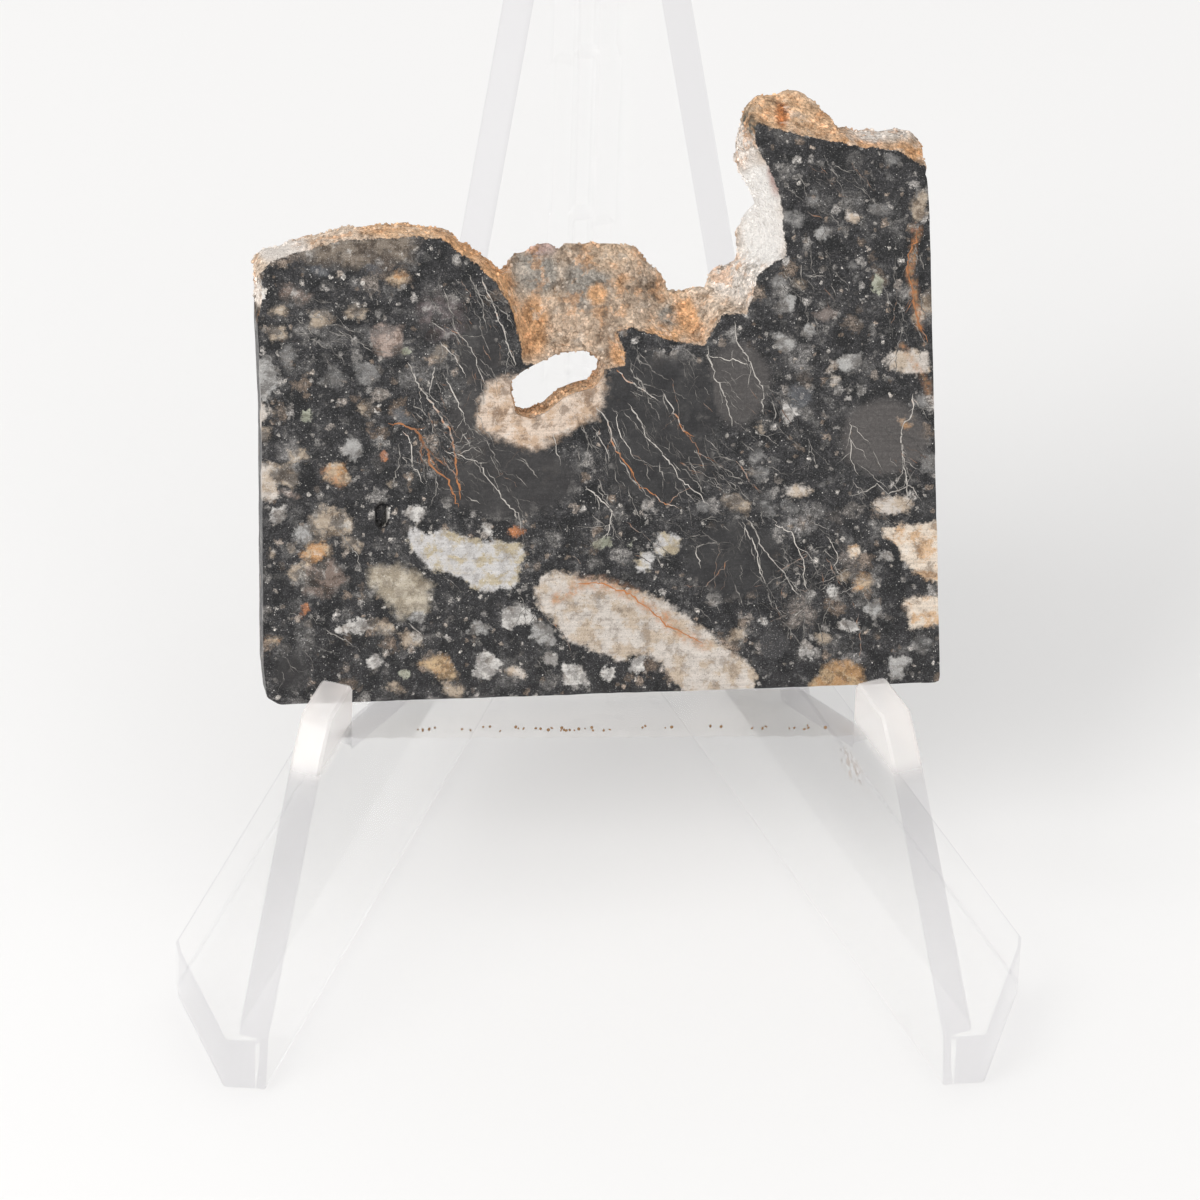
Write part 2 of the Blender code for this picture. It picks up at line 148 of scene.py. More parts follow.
# Smaller pieces: stone, middle across, middle up, half length, half height
PIECES = [
    # The first two pieces paint the pit: its left half near-black, painted shadow where it is turned from the key
    # light; its right half chalk white, partly painted highlight where its wall faces that light
    ("pit_shadow", -11.66, 9.8, 0.2, 0.6), ("chalk_and_pit_highlight", -11.28, 9.75, 0.17, 0.5), ("chalk_and_pit_highlight", -17.6, 21.9, 0.2, 0.6),
    ("tan", -14.3, 9.6, 1.19, 0.95), ("orange_tan", -13.8, 12.0, 0.71, 0.48), ("orange_tan", -14.9, 7.9, 0.69, 0.74),
    ("tan", -16.0, 6.9, 0.53, 0.53), ("brown_crumble", -14.7, 6.5, 1.06, 0.88), ("tan", -16.6, 12.1, 0.87, 0.53),
    ("cream", -17.7, 11.8, 0.75, 1.15), ("pale_grey", -17.6, 17.3, 0.7, 1.0), ("cream", -17.8, 15.4, 0.75, 0.65),
    ("tan", -17.6, 14.2, 0.42, 0.42), ("pinkish_tan", -11.0, 19.0, 0.79, 0.74), ("tan", -16.7, 19.5, 0.48, 0.48),
    ("grey", -16.2, 18.2, 0.40, 0.66), ("slate_blue", -14.6, 22.8, 0.53, 0.27), ("slate_blue", -11.7, 22.9, 0.58, 0.27),
    ("slate_blue", -10.3, 15.0, 0.66, 0.34), ("orange_tan", -10.4, 22.3, 0.58, 0.24), ("tan", -16.7, 20.9, 0.42, 0.32),
    ("tan", -8.4, 18.3, 0.42, 0.53), ("tan", -12.2, 15.6, 0.48, 0.34), ("moss_cream", -15.2, 15.2, 0.32, 0.32),
    ("moss_cream", -10.0, 18.5, 0.21, 0.21), ("white", -9.8, 10.0, 0.58, 0.48), ("tan", -11.0, 11.5, 0.21, 0.21),
    ("rust", -11.3, 12.8, 0.21, 0.21), ("sandy", -8.6, 1.7, 1.01, 0.61), ("moss_cream", -10.5, 1.4, 0.24, 0.24),
    ("white", -12.1, 2.0, 0.40, 0.40), ("tan", -10.1, 3.1, 0.66, 0.45), ("pale_grey", -9.7, 4.4, 0.42, 0.42),
    ("white", -6.1, 1.7, 0.79, 0.58), ("cream", -4.6, 1.4, 0.48, 0.29), ("white", -1.6, 1.0, 0.87, 0.66),
    ("white", 0.2, 1.1, 0.45, 0.37), ("white", 1.7, 1.4, 0.40, 0.37), ("white", -5.9, 8.9, 0.32, 0.21),
    ("rust", -4.4, 8.8, 0.32, 0.27), ("bluish_cream", 2.2, 7.0, 0.61, 0.40), ("bluish_cream", 3.4, 7.8, 0.69, 0.56),
    ("moss_cream", 0.1, 8.1, 0.42, 0.27), ("moss_cream", 1.4, 7.8, 0.21, 0.21), ("grey", 5.3, 9.7, 0.34, 0.32),
    ("tan", 7.0, 9.9, 0.79, 0.40), ("grey", 8.7, 9.6, 0.40, 0.34), ("grey", 9.9, 9.7, 0.40, 0.34),
    ("cream", 10.4, 10.4, 0.66, 0.27), ("pale_grey", 9.8, 18.3, 0.61, 0.48), ("pinkish_tan", 11.9, 19.8, 0.45, 0.32),
    ("pale_grey", 13.2, 17.1, 0.61, 0.53), ("cream", 12.2, 17.0, 0.15, 0.34), ("cream", 12.3, 16.2, 0.19, 0.29),
    ("slate_blue", 10.7, 15.5, 0.74, 0.56), ("white", 10.0, 14.6, 0.53, 0.66), ("grey", 8.3, 12.5, 0.42, 0.37),
    ("grey", 8.4, 11.5, 0.42, 0.37), ("tan", 8.5, 13.8, 0.26, 0.27), ("orange_tan", 16.1, 14.0, 0.34, 0.19),
    ("grey", 17.3, 11.6, 0.45, 0.61), ("grey", 16.9, 14.9, 0.34, 0.32), ("tan", 17.2, 20.0, 0.40, 0.88),
    ("grey", 15.5, 27.9, 0.32, 0.32), ("cream", 13.5, 24.9, 0.45, 0.24), ("grey", 14.8, 25.2, 0.45, 0.29),
    ("grey", 11.3, 25.7, 0.32, 0.27), ("grey", 10.2, 24.9, 0.53, 0.37), ("grey", 9.5, 21.6, 0.42, 0.37),
    ("grey", 13.4, 22.3, 0.19, 0.19), ("moss_cream", 14.9, 21.2, 0.25, 0.48), ("tan", 17.0, 25.4, 0.45, 0.66),
    ("rust", 16.8, 24.3, 0.21, 0.21), ("pale_grey", 15.6, 1.0, 0.61, 0.58), ("white", 12.9, 3.2, 0.53, 0.37),
    ("smooth_dark", 9.0, 2.3, 0.66, 0.80), ("tan", 7.0, 2.9, 0.56, 0.48), ("white", 8.4, 3.7, 0.32, 0.27),
    ("orange_tan", 13.8, 5.6, 0.45, 0.48), ("pinkish_tan", -16.4, 11.2, 0.48, 0.13), ("tan", -16.3, 8.3, 0.16, 0.32),
    ("tan", -17.3, 7.8, 0.19, 0.19), ("rust", -15.6, 5.0, 0.13, 0.32), ("orange_tan", -17.4, 3.4, 0.40, 0.11),
    ("cream", 16.2, 17.2, 1.08, 0.58), ("pale_grey", -3.3, 3.2, 0.8, 0.5), ("white", -4.6, 4.3, 0.9, 0.5),
    ("white", -13.0, 4.0, 0.8, 0.35), ("tan", -11.5, 3.9, 0.9, 0.4), ("tan", -7.9, 0.4, 0.8, 0.35),
    ("tan", -11.0, 0.6, 0.5, 0.3), ("pale_grey", -6.6, 3.6, 0.5, 0.3), ("white", -2.9, 2.0, 0.4, 0.3),
    ("tan", -13.1, 8.3, 0.5, 0.4), ("white", -16.9, 10.0, 0.4, 0.5), ("tan", -15.9, 13.2, 0.5, 0.4),
    ("pale_grey", -15.6, 9.1, 0.4, 0.5), ("white", 10.6, 1.9, 0.5, 0.35), ("pale_grey", 14.3, 4.0, 0.5, 0.4),
    ("white", 12.2, 4.9, 0.5, 0.3), ("tan", 11.6, 2.4, 0.4, 0.3), ("grey", 16.9, 2.1, 0.5, 0.5),
    ("peach", 13.2, 7.1, 0.35, 0.35), ("white", 14.8, 6.9, 0.4, 0.3), ("tan", 12.9, 5.9, 0.4, 0.3),
    ("pale_grey", -12.9, 13.3, 0.5, 0.4), ("grey", -13.9, 17.2, 0.7, 0.5), ("tan", -12.6, 20.6, 0.6, 0.4),
    ("tan", -14.6, 20.3, 0.7, 0.4), ("grey", -12.2, 17.4, 0.6, 0.6), ("brown_crumble", -15.8, 21.6, 0.7, 0.4),
    ("pale_grey", 12.0, 24.0, 0.4, 0.4), ("tan", 10.6, 21.4, 0.3, 0.3), ("pale_grey", 9.9, 20.2, 0.4, 0.5),
    ("pale_grey", 11.0, 18.9, 0.35, 0.4), ("chalk_and_pit_highlight", -17.9, 22.0, 0.25, 0.62), ("veined_breccia", -8.3, 20.2, 1.3, 1.2),
]

CHIP_SEED = 11
# How far the pieces shift across and up with each millimetre into the slice
PIECE_SLANT = (0.45, -0.35)

# Even-grained dark pieces of the ground: how pale, middle across, middle up, half length, half height
MELT_PIECES = [
    (0.7, 7.3, 16.2, 1.7, 2.3), (0.0, 3.2, 15.4, 3.3, 2.6), (0.1, -6.3, 18.2, 1.3, 1.9), (0.15, -4.9, 11.5, 3.6, 2.1),
    (0.0, 7.0, 6.9, 2.7, 2.1), (0.9, 14.9, 13.1, 2.3, 2.1), (0.1, -16.4, 1.6, 1.0, 0.9),
    (0.3, -6.7, 14.6, 1.2, 2.0), (0.0, 3.2, 12.2, 3.0, 2.0),
]

# Veins: half width at the start and at the end, rust at the start and at the end, and the way they run
VEINS = [
    (0.05, 0.09, 0.1, 0.9, [(-10.0, 17.9), (-9.7, 16.8), (-9.2, 15.9), (-8.5, 15.0), (-8.0, 13.9), (-7.7, 11.6), (-7.4, 10.5)]),
    (0.06, 0.04, 0.1, 0.1, [(-8.6, 17.6), (-9.0, 15.9)]),
    (0.05, 0.04, 0.0, 0.1, [(-8.0, 17.0), (-7.5, 16.1), (-7.1, 14.9), (-7.1, 14.4)]),
    (0.04, 0.04, 0.1, 0.1, [(-7.7, 19.9), (-6.9, 18.5), (-6.4, 17.6), (-6.0, 16.6)]),
    (0.06, 0.05, 0.3, 0.1, [(-6.1, 22.3), (-5.7, 21.3), (-5.2, 20.3), (-4.4, 17.5)]),
    (0.04, 0.03, 0.2, 0.1, [(-8.3, 18.9), (-7.6, 18.3), (-7.0, 17.0)]),
    (0.06, 0.11, 0.9, 0.8, [(-11.1, 14.7), (-10.3, 14.6), (-9.6, 14.2), (-9.1, 13.4)]),
    (0.11, 0.06, 0.8, 0.9, [(-9.1, 13.4), (-8.95, 12.4), (-8.1, 11.6), (-7.9, 10.9), (-7.5, 10.1)]),
    (0.04, 0.04, 0.1, 0.1, [(-8.2, 13.2), (-7.3, 12.9), (-6.2, 12.4)]),
    (0.05, 0.04, 0.4, 0.1, [(-10.4, 14.2), (-9.9, 13.2), (-9.9, 12.2), (-9.3, 11.4)]),
    (0.06, 0.05, 0.5, 0.1, [(0.9, 17.2), (1.9, 16.2), (3.1, 15.5)]),
    (0.05, 0.04, 0.1, 0.1, [(1.7, 19.3), (2.3, 18.0), (2.8, 16.6)]),
    (0.05, 0.06, 0.1, 0.8, [(3.4, 15.8), (4.1, 14.7), (4.3, 14.0), (4.9, 13.5)]),
    (0.06, 0.05, 0.2, 0.1, [(5.7, 18.3), (6.0, 16.7), (6.6, 15.6), (6.7, 14.7), (7.0, 14.0)]),
    (0.04, 0.04, 0.0, 0.0, [(5.8, 17.7), (7.0, 17.6), (7.9, 17.2)]),
    (0.05, 0.05, 0.0, 0.1, [(7.2, 19.5), (7.6, 18.2), (8.1, 16.9), (8.6, 15.9), (8.6, 14.6)]),
    (0.05, 0.07, 0.2, 0.9, [(-0.2, 15.2), (0.3, 14.7), (0.7, 13.4), (1.5, 12.2), (1.8, 11.3)]),
    (0.05, 0.04, 0.8, 0.5, [(1.8, 11.3), (3.3, 9.9), (4.1, 9.7)]),
    (0.04, 0.03, 0.0, 0.0, [(0.9, 14.9), (1.1, 13.8), (1.8, 12.4)]),
    (0.04, 0.03, 0.0, 0.0, [(-0.4, 14.2), (0.5, 12.3)]),
    (0.04, 0.03, 0.2, 0.2, [(-2.4, 13.9), (-2.1, 12.2)]),
    (0.05, 0.04, 0.1, 0.1, [(1.5, 15.4), (2.4, 13.7), (3.3, 12.9), (4.1, 11.5), (5.7, 9.8)]),
    (0.05, 0.03, 0.5, 0.3, [(5.1, 18.3), (5.2, 16.6)]),
    (0.05, 0.05, 0.2, 0.2, [(-6.3, 12.4), (-5.8, 11.5), (-5.2, 10.3), (-4.5, 9.9), (-4.5, 9.3)]),
    (0.05, 0.04, 0.0, 0.1, [(-0.8, 11.1), (-0.3, 10.6), (0.5, 9.7), (0.5, 8.9), (0.3, 8.3)]),
    (0.05, 0.03, 0.0, 0.0, [(5.0, 7.7), (5.2, 6.5)]),
    (0.06, 0.04, 0.0, 0.0, [(7.4, 8.9), (7.9, 7.7), (8.1, 6.7), (8.6, 5.5)]),
    (0.05, 0.05, 0.0, 0.0, [(7.6, 9.2), (8.2, 7.7), (9.4, 6.4), (10.4, 4.9)]),
    (0.04, 0.04, 0.0, 0.1, [(9.0, 9.0), (10.1, 8.2), (10.6, 6.8), (10.6, 5.6), (10.9, 5.1)]),
    (0.04, 0.03, 0.1, 0.1, [(11.9, 8.0), (12.5, 6.9), (12.2, 6.4), (12.9, 5.3)]),
    (0.06, 0.04, 0.2, 0.1, [(16.5, 15.4), (16.5, 14.4), (16.0, 13.7), (16.0, 12.2), (16.1, 10.9), (16.1, 9.7)]),
    (0.04, 0.03, 0.0, 0.0, [(13.2, 14.1), (13.3, 12.3), (13.6, 11.2)]),
    (0.04, 0.04, 0.0, 0.1, [(13.1, 10.1), (14.5, 10.8), (15.0, 10.2), (16.1, 10.7), (16.9, 9.7)]),
    (0.05, 0.04, 0.3, 0.1, [(9.9, 22.9), (10.9, 22.0), (11.6, 21.1), (11.8, 20.4)]),
    (0.06, 0.09, 1.0, 0.7, [(16.8, 24.2), (16.8, 23.4), (16.3, 22.7), (16.3, 21.5), (16.6, 19.4), (17.4, 17.9), (17.5, 15.7)]),
    (0.08, 0.06, 0.6, 0.6, [(17.6, 10.9), (17.4, 9.3), (16.5, 6.6)]),
    (0.05, 0.09, 1.0, 1.0, [(-1.3, 5.9), (0.1, 5.8), (1.4, 5.2), (2.4, 4.5)]),
    (0.09, 0.04, 1.0, 0.8, [(2.4, 4.5), (3.3, 3.8), (4.4, 2.9), (5.3, 2.4)]),
]
# Steps of a vein, how far it strays at each, and how far the ribbons of its fill stand out
VEIN_SEED = 5
VEIN_STEP = 0.17
VEIN_STRAY = 0.040
VEIN_WIDTH = 0.52
VEIN_LIFT = 0.012
BRANCHES_PER_MM = 0.75
HAIR_HALF_WIDTH = 0.022
HAIR_STRAY = 0.045

# Swarms of hairline cracks: how many, their slope in degrees, middle across, middle up, half length, half height
CRACK_SWARMS = [
    (58, -62, -6.9, 19.0, 2.4, 3.6), (48, -50, -7.2, 12.8, 3.4, 2.8), (66, -58, 4.2, 15.4, 5.2, 3.4),
    (36, -64, 0.2, 13.0, 2.6, 2.6), (26, -60, -10.2, 15.8, 2.2, 3.0), (30, -66, 8.6, 7.2, 2.4, 3.2),
    (30, -40, 5.8, 12.0, 2.4, 1.6), (26, -50, 14.8, 11.4, 2.2, 2.6), (24, -75, 16.2, 20.6, 1.4, 3.6),
    (24, -60, 11.2, 21.6, 1.8, 2.2), (22, -45, 12.2, 26.6, 2.4, 1.6), (60, -55, 0.0, 10.6, 16.0, 9.0),
    (20, -35, -15.0, 19.4, 2.2, 2.2), (18, -20, 3.5, 8.2, 3.0, 1.4), (14, 40, -7.0, 12.2, 2.6, 1.6),
    (26, 30, 11.0, 5.0, 3.0, 2.4), (26, -80, 11.0, 5.4, 3.2, 2.6),
    (12, -50, -15.8, 3.0, 1.8, 2.6),
]

# Unnamed fragments of the ground: cells to a millimetre, share of cells, size, fading, darkest and lightest colour
FRAGMENT_SIZES = [
    (0.45, 0.40, 0.34, 0.16, "343434", "7b7876"),
    (0.80, 0.48, 0.34, 0.12, "383737", "8f8b87"),
    (1.50, 0.42, 0.33, 0.10, "424140", "a5a09b"),
    (2.80, 0.32, 0.30, 0.09, "4d4a48", "b8b2ab"),
]

# Grains strewn over the crust: to a square metre, smallest and largest half size in metres
GRAIN_DENSITY = 6000000.0
GRAIN_LEAST = 0.00004
GRAIN_MOST = 0.00014
GRAIN_ONSET = 0.12

# Easel: the angle of each wing to the middle, its milky hooks, and the grit on its film
HALF_OPENING = math.radians(21.3)
HINGE_REACH = 0.0196
HOOK_HEIGHT = 0.0138
HOOK_REACH = -0.0104
HOOK_COVER = 0.52
SOIL_SPOT = (0.0131, -0.0113, 0.0121)
SOIL_REACH = 0.0020
GRIT_WIDTH = 0.0004
GRIT_DENSITY = 5000000.0
GRIT_MOST = 0.00011

# Rust that has soaked into the stone: half width, and the way it runs
RUST_LINES = [
    (0.30, [(-1.3, 5.9), (0.1, 5.8), (1.4, 5.2), (2.4, 4.5), (3.3, 3.8), (4.4, 2.9), (5.3, 2.4)]),
    (0.30, [(-2.4, 5.2), (-1.3, 5.6)]),
    (0.16, [(16.9, 24.0), (16.4, 22.0), (16.9, 19.0)]),
    (0.14, [(16.0, 18.0), (16.9, 16.6), (17.6, 15.0)]),
    (0.18, [(-14.4, 12.2), (-13.6, 11.6)]),
]

# Where the crust is smooth: middle across, middle up, half length, half height
CALM_CRUST = [(8.9, 25.4, 1.5, 3.1), (-16.5, 23.7, 1.2, 0.7)]

# Colours of the broken crust, and its patches: colour, middle across, middle up, half length, half height
CRUST_GROUND = "cfb7a0"
CRUST_COLOURS = {
    "white": "f5f1ec", "chalky": "e9e0d7", "cream": "e4cfba", "peach": "e4be99",
    "orange": "dcac80", "rusty": "cb8757", "buff": "cdb49b", "mauve": "c2a8a0",
    "brown": "ae9a87", "grey": "a29b92", "mossy": "585e58", "dark": "3b3937",
}
CRUST_PATCHES = [
    ("chalky", -16.7, 24.1, 1.6, 0.8), ("cream", -13.5, 24.8, 2.0, 0.6), ("peach", -9.8, 24.9, 2.6, 0.7),
    ("orange", -6.8, 23.8, 1.5, 0.9), ("orange", -5.3, 22.2, 0.9, 1.3), ("orange", -4.8, 20.0, 0.7, 1.6),
    ("chalky", -17.9, 21.9, 0.5, 0.9), ("dark", -17.9, 20.2, 0.5, 0.9), ("cream", -17.7, 23.1, 0.6, 0.5),
    ("grey", -3.0, 22.2, 1.3, 1.2), ("mauve", -2.7, 23.5, 0.9, 0.5), ("orange", -3.4, 19.3, 0.9, 1.4),
    ("brown", -1.6, 22.0, 0.3, 2.0), ("grey", -0.4, 21.6, 1.2, 1.4), ("buff", 0.8, 22.9, 1.3, 0.8),
    ("orange", 0.1, 20.9, 0.5, 0.5), ("orange", 1.5, 21.5, 0.4, 0.4), ("brown", 2.4, 21.0, 1.2, 1.0),
    ("brown", 0.6, 18.9, 0.9, 1.4), ("orange", 1.2, 17.8, 0.5, 0.5), ("orange", 3.3, 18.9, 1.1, 0.5),
    ("grey", 3.9, 19.8, 0.6, 0.5), ("orange", 4.9, 19.7, 0.6, 1.0), ("buff", 4.6, 20.8, 1.0, 0.5),
    # The white patches on the tower's left wall, at 8.9 and 8.4 across, are its pale cream painted nearly white: partly
    # painted highlight where that wall faces the key light
    ("cream", 6.3, 20.9, 1.2, 1.1), ("chalky", 7.5, 21.8, 1.3, 1.3), ("white", 8.9, 23.8, 1.2, 1.8),
    ("white", 8.4, 26.2, 1.4, 1.8), ("chalky", 7.9, 28.4, 0.8, 1.3), ("mauve", 9.4, 27.3, 0.3, 1.2),
    ("mossy", 8.2, 30.1, 0.45, 0.85), ("peach", 10.0, 30.4, 1.9, 0.9), ("rusty", 10.0, 30.2, 0.5, 0.5),
    ("peach", 12.0, 29.8, 1.4, 0.9), ("orange", 14.0, 28.8, 1.6, 0.4), ("orange", 16.3, 28.1, 1.3, 0.4),
    ("chalky", 15.4, 29.1, 1.9, 0.45), ("peach", -2.2, 15.6, 3.0, 1.5),
]


def linear(colour):
    """Turns two hexadecimal digits a channel into the light that a shader wants."""
    channels = [int(colour[start:start + 2], 16) / 255 for start in (0, 2, 4)]
    return [value / 12.92 if value <= 0.04045 else ((value + 0.055) / 1.055) ** 2.4 for value in channels]


def slice_place():
    place = Matrix.Translation(Vector(SLICE_FOOT) * MM)
    turn = Matrix.Rotation(SLICE_TURN, 4, "Z")
    tilt = Matrix.Rotation(math.radians(90.0) - LEAN, 4, "X")
    return place @ turn @ tilt @ Matrix.Scale(MM, 4)


def smooth_step(value, low, high):
    share = np.clip((value - low) / (high - low), 0.0, 1.0)
    return share * share * (3 - 2 * share)


def lattice_noise(points, seed):
    """Smooth noise from -1 to 1 on a square lattice of unit cells."""
    corner = np.floor(points)
    within = points - corner
    ease = within * within * (3 - 2 * within)
    total = np.zeros(len(points))
    for across in (0, 1):
        for up in (0, 1):
            phase = (corner[:, 0] + across) * 127.1 + (corner[:, 1] + up) * 311.7 + seed * 74.7
            value = np.sin(phase) * 43758.5453
            value = (value - np.floor(value)) * 2 - 1
            share_across = ease[:, 0] if across else 1 - ease[:, 0]
            share_up = ease[:, 1] if up else 1 - ease[:, 1]
            total += value * share_across * share_up
    return total


def rough(points, grain, seed, octaves=4):
    """Noise of several sizes, the largest of them grain millimetres across."""
    total = np.zeros(len(points))
    for octave in range(octaves):
        total += lattice_noise(points / grain * 2 ** octave + 17.3 * octave, seed + octave) / 2 ** octave
    return total / 2


def even_steps(ring, step):
    """Points at an even step round a closed line."""
    ring = np.array(ring, float)
    closed = np.vstack([ring, ring[:1]])
    lengths = np.linalg.norm(np.diff(closed, axis=0), axis=1)
    along = np.concatenate([[0.0], np.cumsum(lengths)])
    marks = np.linspace(0.0, along[-1], round(along[-1] / step), endpoint=False)
    return np.column_stack([np.interp(marks, along, closed[:, axis]) for axis in (0, 1)])


def outward_normals(ring):
    way = np.roll(ring, -1, axis=0) - np.roll(ring, 1, axis=0)
    way /= np.maximum(1e-9, np.linalg.norm(way, axis=1))[:, None]
    following = np.roll(ring, -1, axis=0)
    area = np.sum(ring[:, 0] * following[:, 1] - following[:, 0] * ring[:, 1])
    return np.column_stack([way[:, 1], -way[:, 0]]) * np.sign(area)


def is_sawn_edge(points):
    side = (np.abs(points[:, 0]) > SAWN_SIDE_REACH) & (points[:, 1] < SAWN_SIDE_TOP)
    foot = points[:, 1] < SAWN_FOOT
    return side & (points[:, 1] < 23.0) | foot | side & (points[:, 0] > 0)


def stone_rings():
    """The outline and the hole, with the fine unevenness of sawn and of broken edges."""
    outline = even_steps(OUTLINE, CELL)
    amount = np.where(is_sawn_edge(outline), 0.03, 0.22)
    outline = outline + outward_normals(outline) * (amount * rough(outline, 0.9, 3))[:, None]
    hole = even_steps(HOLE, CELL)
    hole = hole + outward_normals(hole) * (0.12 * rough(hole, 0.8, 9))[:, None]
    return outline, hole


def inside(points, ring):
    odd = np.zeros(len(points), bool)
    for (ax, ay), (bx, by) in zip(ring, np.roll(ring, -1, axis=0)):
        if ay == by:
            continue
        crosses = (ay > points[:, 1]) != (by > points[:, 1])
        crossing = ax + (points[:, 1] - ay) / (by - ay) * (bx - ax)
        odd ^= crosses & (points[:, 0] < crossing)
    return odd


def nearest_on(points, line, closed=True):
    """The nearest spot of a line to each point: its place, how far along the line it is, and which side it is."""
    line = np.array(line, float)
    starts = line if closed else line[:-1]
    ends = np.roll(line, -1, axis=0) if closed else line[1:]
    best = np.full(len(points), np.inf)
    spots = np.zeros_like(points)
    marks = np.zeros(len(points))
    sides = np.ones(len(points))
    walked = 0.0
    for start, end in zip(starts, ends):
        way = end - start
        length = np.linalg.norm(way)
        share = np.clip((points - start) @ way / max(1e-12, length ** 2), 0.0, 1.0)
        spot = start + share[:, None] * way
        gap = np.sum((points - spot) ** 2, axis=1)
        nearer = gap < best
        best[nearer] = gap[nearer]
        spots[nearer] = spot[nearer]
        marks[nearer] = walked + share[nearer] * length
        offset = points - start
        turn = way[0] * offset[:, 1] - way[1] * offset[:, 0]
        sides[nearer] = np.where(turn[nearer] < 0, -1.0, 1.0)
        walked += length
    return np.sqrt(best), spots, marks, sides


def depth_inside(points, ring):
    """How far each point lies inside a closed line, less than nothing outside it."""
    gap = nearest_on(points, ring)[0]
    return np.where(inside(points, np.array(ring, float)), gap, -gap)


def broken_by(points):
    """How far each point lies out on the broken crust, less than nothing on the sawn face."""
    shaken = points + 0.16 * np.column_stack([rough(points, 1.1, 21), rough(points, 1.1, 31)])
    return -depth_inside(shaken, SAWN_FACE)


def crust_reach(corners):
    """How far the broken crust has been entered: on the front from its border, on a broken wall from its edge."""
    behind = -corners[:, 2]
    reach = broken_by(corners[:, :2])
    rim = nearest_on(corners[:, :2], OUTLINE)[0] < 0.5
    rim |= nearest_on(corners[:, :2], HOLE)[0] < 0.4
    wall = rim & ~is_sawn_edge(corners[:, :2])
    reach = np.where(wall, np.maximum(reach, 0.8 * (behind - 0.12)), reach)
    return np.where(behind > THICKNESS - 0.12, -0.5, reach)


def crust_calm(points):
    """Everything where the crust is a smooth pale wall, nothing where it is crumbly."""
    shaken = points + 0.25 * np.column_stack([rough(points, 0.9, 181), rough(points, 0.9, 191)])
    calm = np.zeros(len(points))
    for where in CALM_CRUST:
        calm = np.maximum(calm, smooth_step(in_ellipse(shaken, *where), -0.2, 0.3))
    return calm


def face_depth(points):
    """How far the front of the stone lies behind the sawn face."""
    out = broken_by(points)
    to_outline = nearest_on(points, OUTLINE)[0]
    share = np.clip(out, 0.0, None) / np.maximum(0.05, np.clip(out, 0.0, None) + to_outline)
    width = np.clip(out, 0.0, None) + to_outline
    fall = (THICKNESS - RIM) * share ** 0.75 * np.clip(width / 1.5, 0.0, 1.0)
    relief = 0.45 * rough(points, 1.9, 41, 5) + 0.22 * np.abs(rough(points, 0.7, 47))
    fall += smooth_step(out, 0.0, 0.7) * relief * (1.0 - 0.6 * crust_calm(points))
    fall = np.where(out > 0, np.clip(fall, 0.03, THICKNESS - RIM * 0.7), 0.0)
    across, up, half_across, half_up = PIT
    from_pit = np.hypot((points[:, 0] - across) / half_across, (points[:, 1] - up) / half_up)
    return fall + PIT_DEPTH * smooth_step(from_pit, 1.15, 0.75)


def stone_cells(outline, hole):
    """The square cells of a sheet that lie wholly in the stone, and the places of their corners."""
    low = np.array([min(x for x, y in OUTLINE), min(y for x, y in OUTLINE)]) - 2 * CELL
    high = np.array([max(x for x, y in OUTLINE), max(y for x, y in OUTLINE)]) + 2 * CELL
    columns, rows = np.ceil((high - low) / CELL).astype(int) + 1
    across, up = np.meshgrid(low[0] + CELL * np.arange(columns), low[1] + CELL * np.arange(rows), indexing="ij")
    corners = np.column_stack([across.ravel(), up.ravel()])
    kept = (inside(corners, outline) & ~inside(corners, hole)).reshape(columns, rows)
    cells = kept[:-1, :-1] & kept[1:, :-1] & kept[:-1, 1:] & kept[1:, 1:]
    for _ in range(4):
        rising = cells[:-1, :-1] & cells[1:, 1:] & ~cells[1:, :-1] & ~cells[:-1, 1:]
        falling = ~cells[:-1, :-1] & ~cells[1:, 1:] & cells[1:, :-1] & cells[:-1, 1:]
        cells[:-1, :-1] &= ~rising
        cells[1:, :-1] &= ~falling
    return corners, cells, rows


def stone_sheet():
    """Corners of the front sheet, its faces, and the edges round its border, each seen with the stone on its left."""
    outline, hole = stone_rings()
    corners, cells, rows = stone_cells(outline, hole)
    column, row = np.nonzero(cells)
    first = column * rows + row
    faces = np.column_stack([first, first + rows, first + rows + 1, first + 1])
    used, faces = np.unique(faces, return_inverse=True)
    faces = faces.reshape(-1, 4)
    points = corners[used]
    edges = np.vstack([faces[:, [side, (side + 1) % 4]] for side in range(4)])
    known = {tuple(edge) for edge in edges.tolist()}
    border = np.array([edge for edge in edges.tolist() if (edge[1], edge[0]) not in known])
    rim = np.unique(border)
    gap_out, spots_out, _, _ = nearest_on(points[rim], outline)
    gap_in, spots_in, _, _ = nearest_on(points[rim], hole)
    at_hole = (gap_in < gap_out)[:, None]
    outward = np.where(at_hole, spots_in, spots_out) - points[rim]
    points[rim] = np.where(at_hole, spots_in, spots_out)
    outward /= np.maximum(1e-6, np.linalg.norm(outward, axis=1))[:, None]
    return points, faces, border, rim, outward


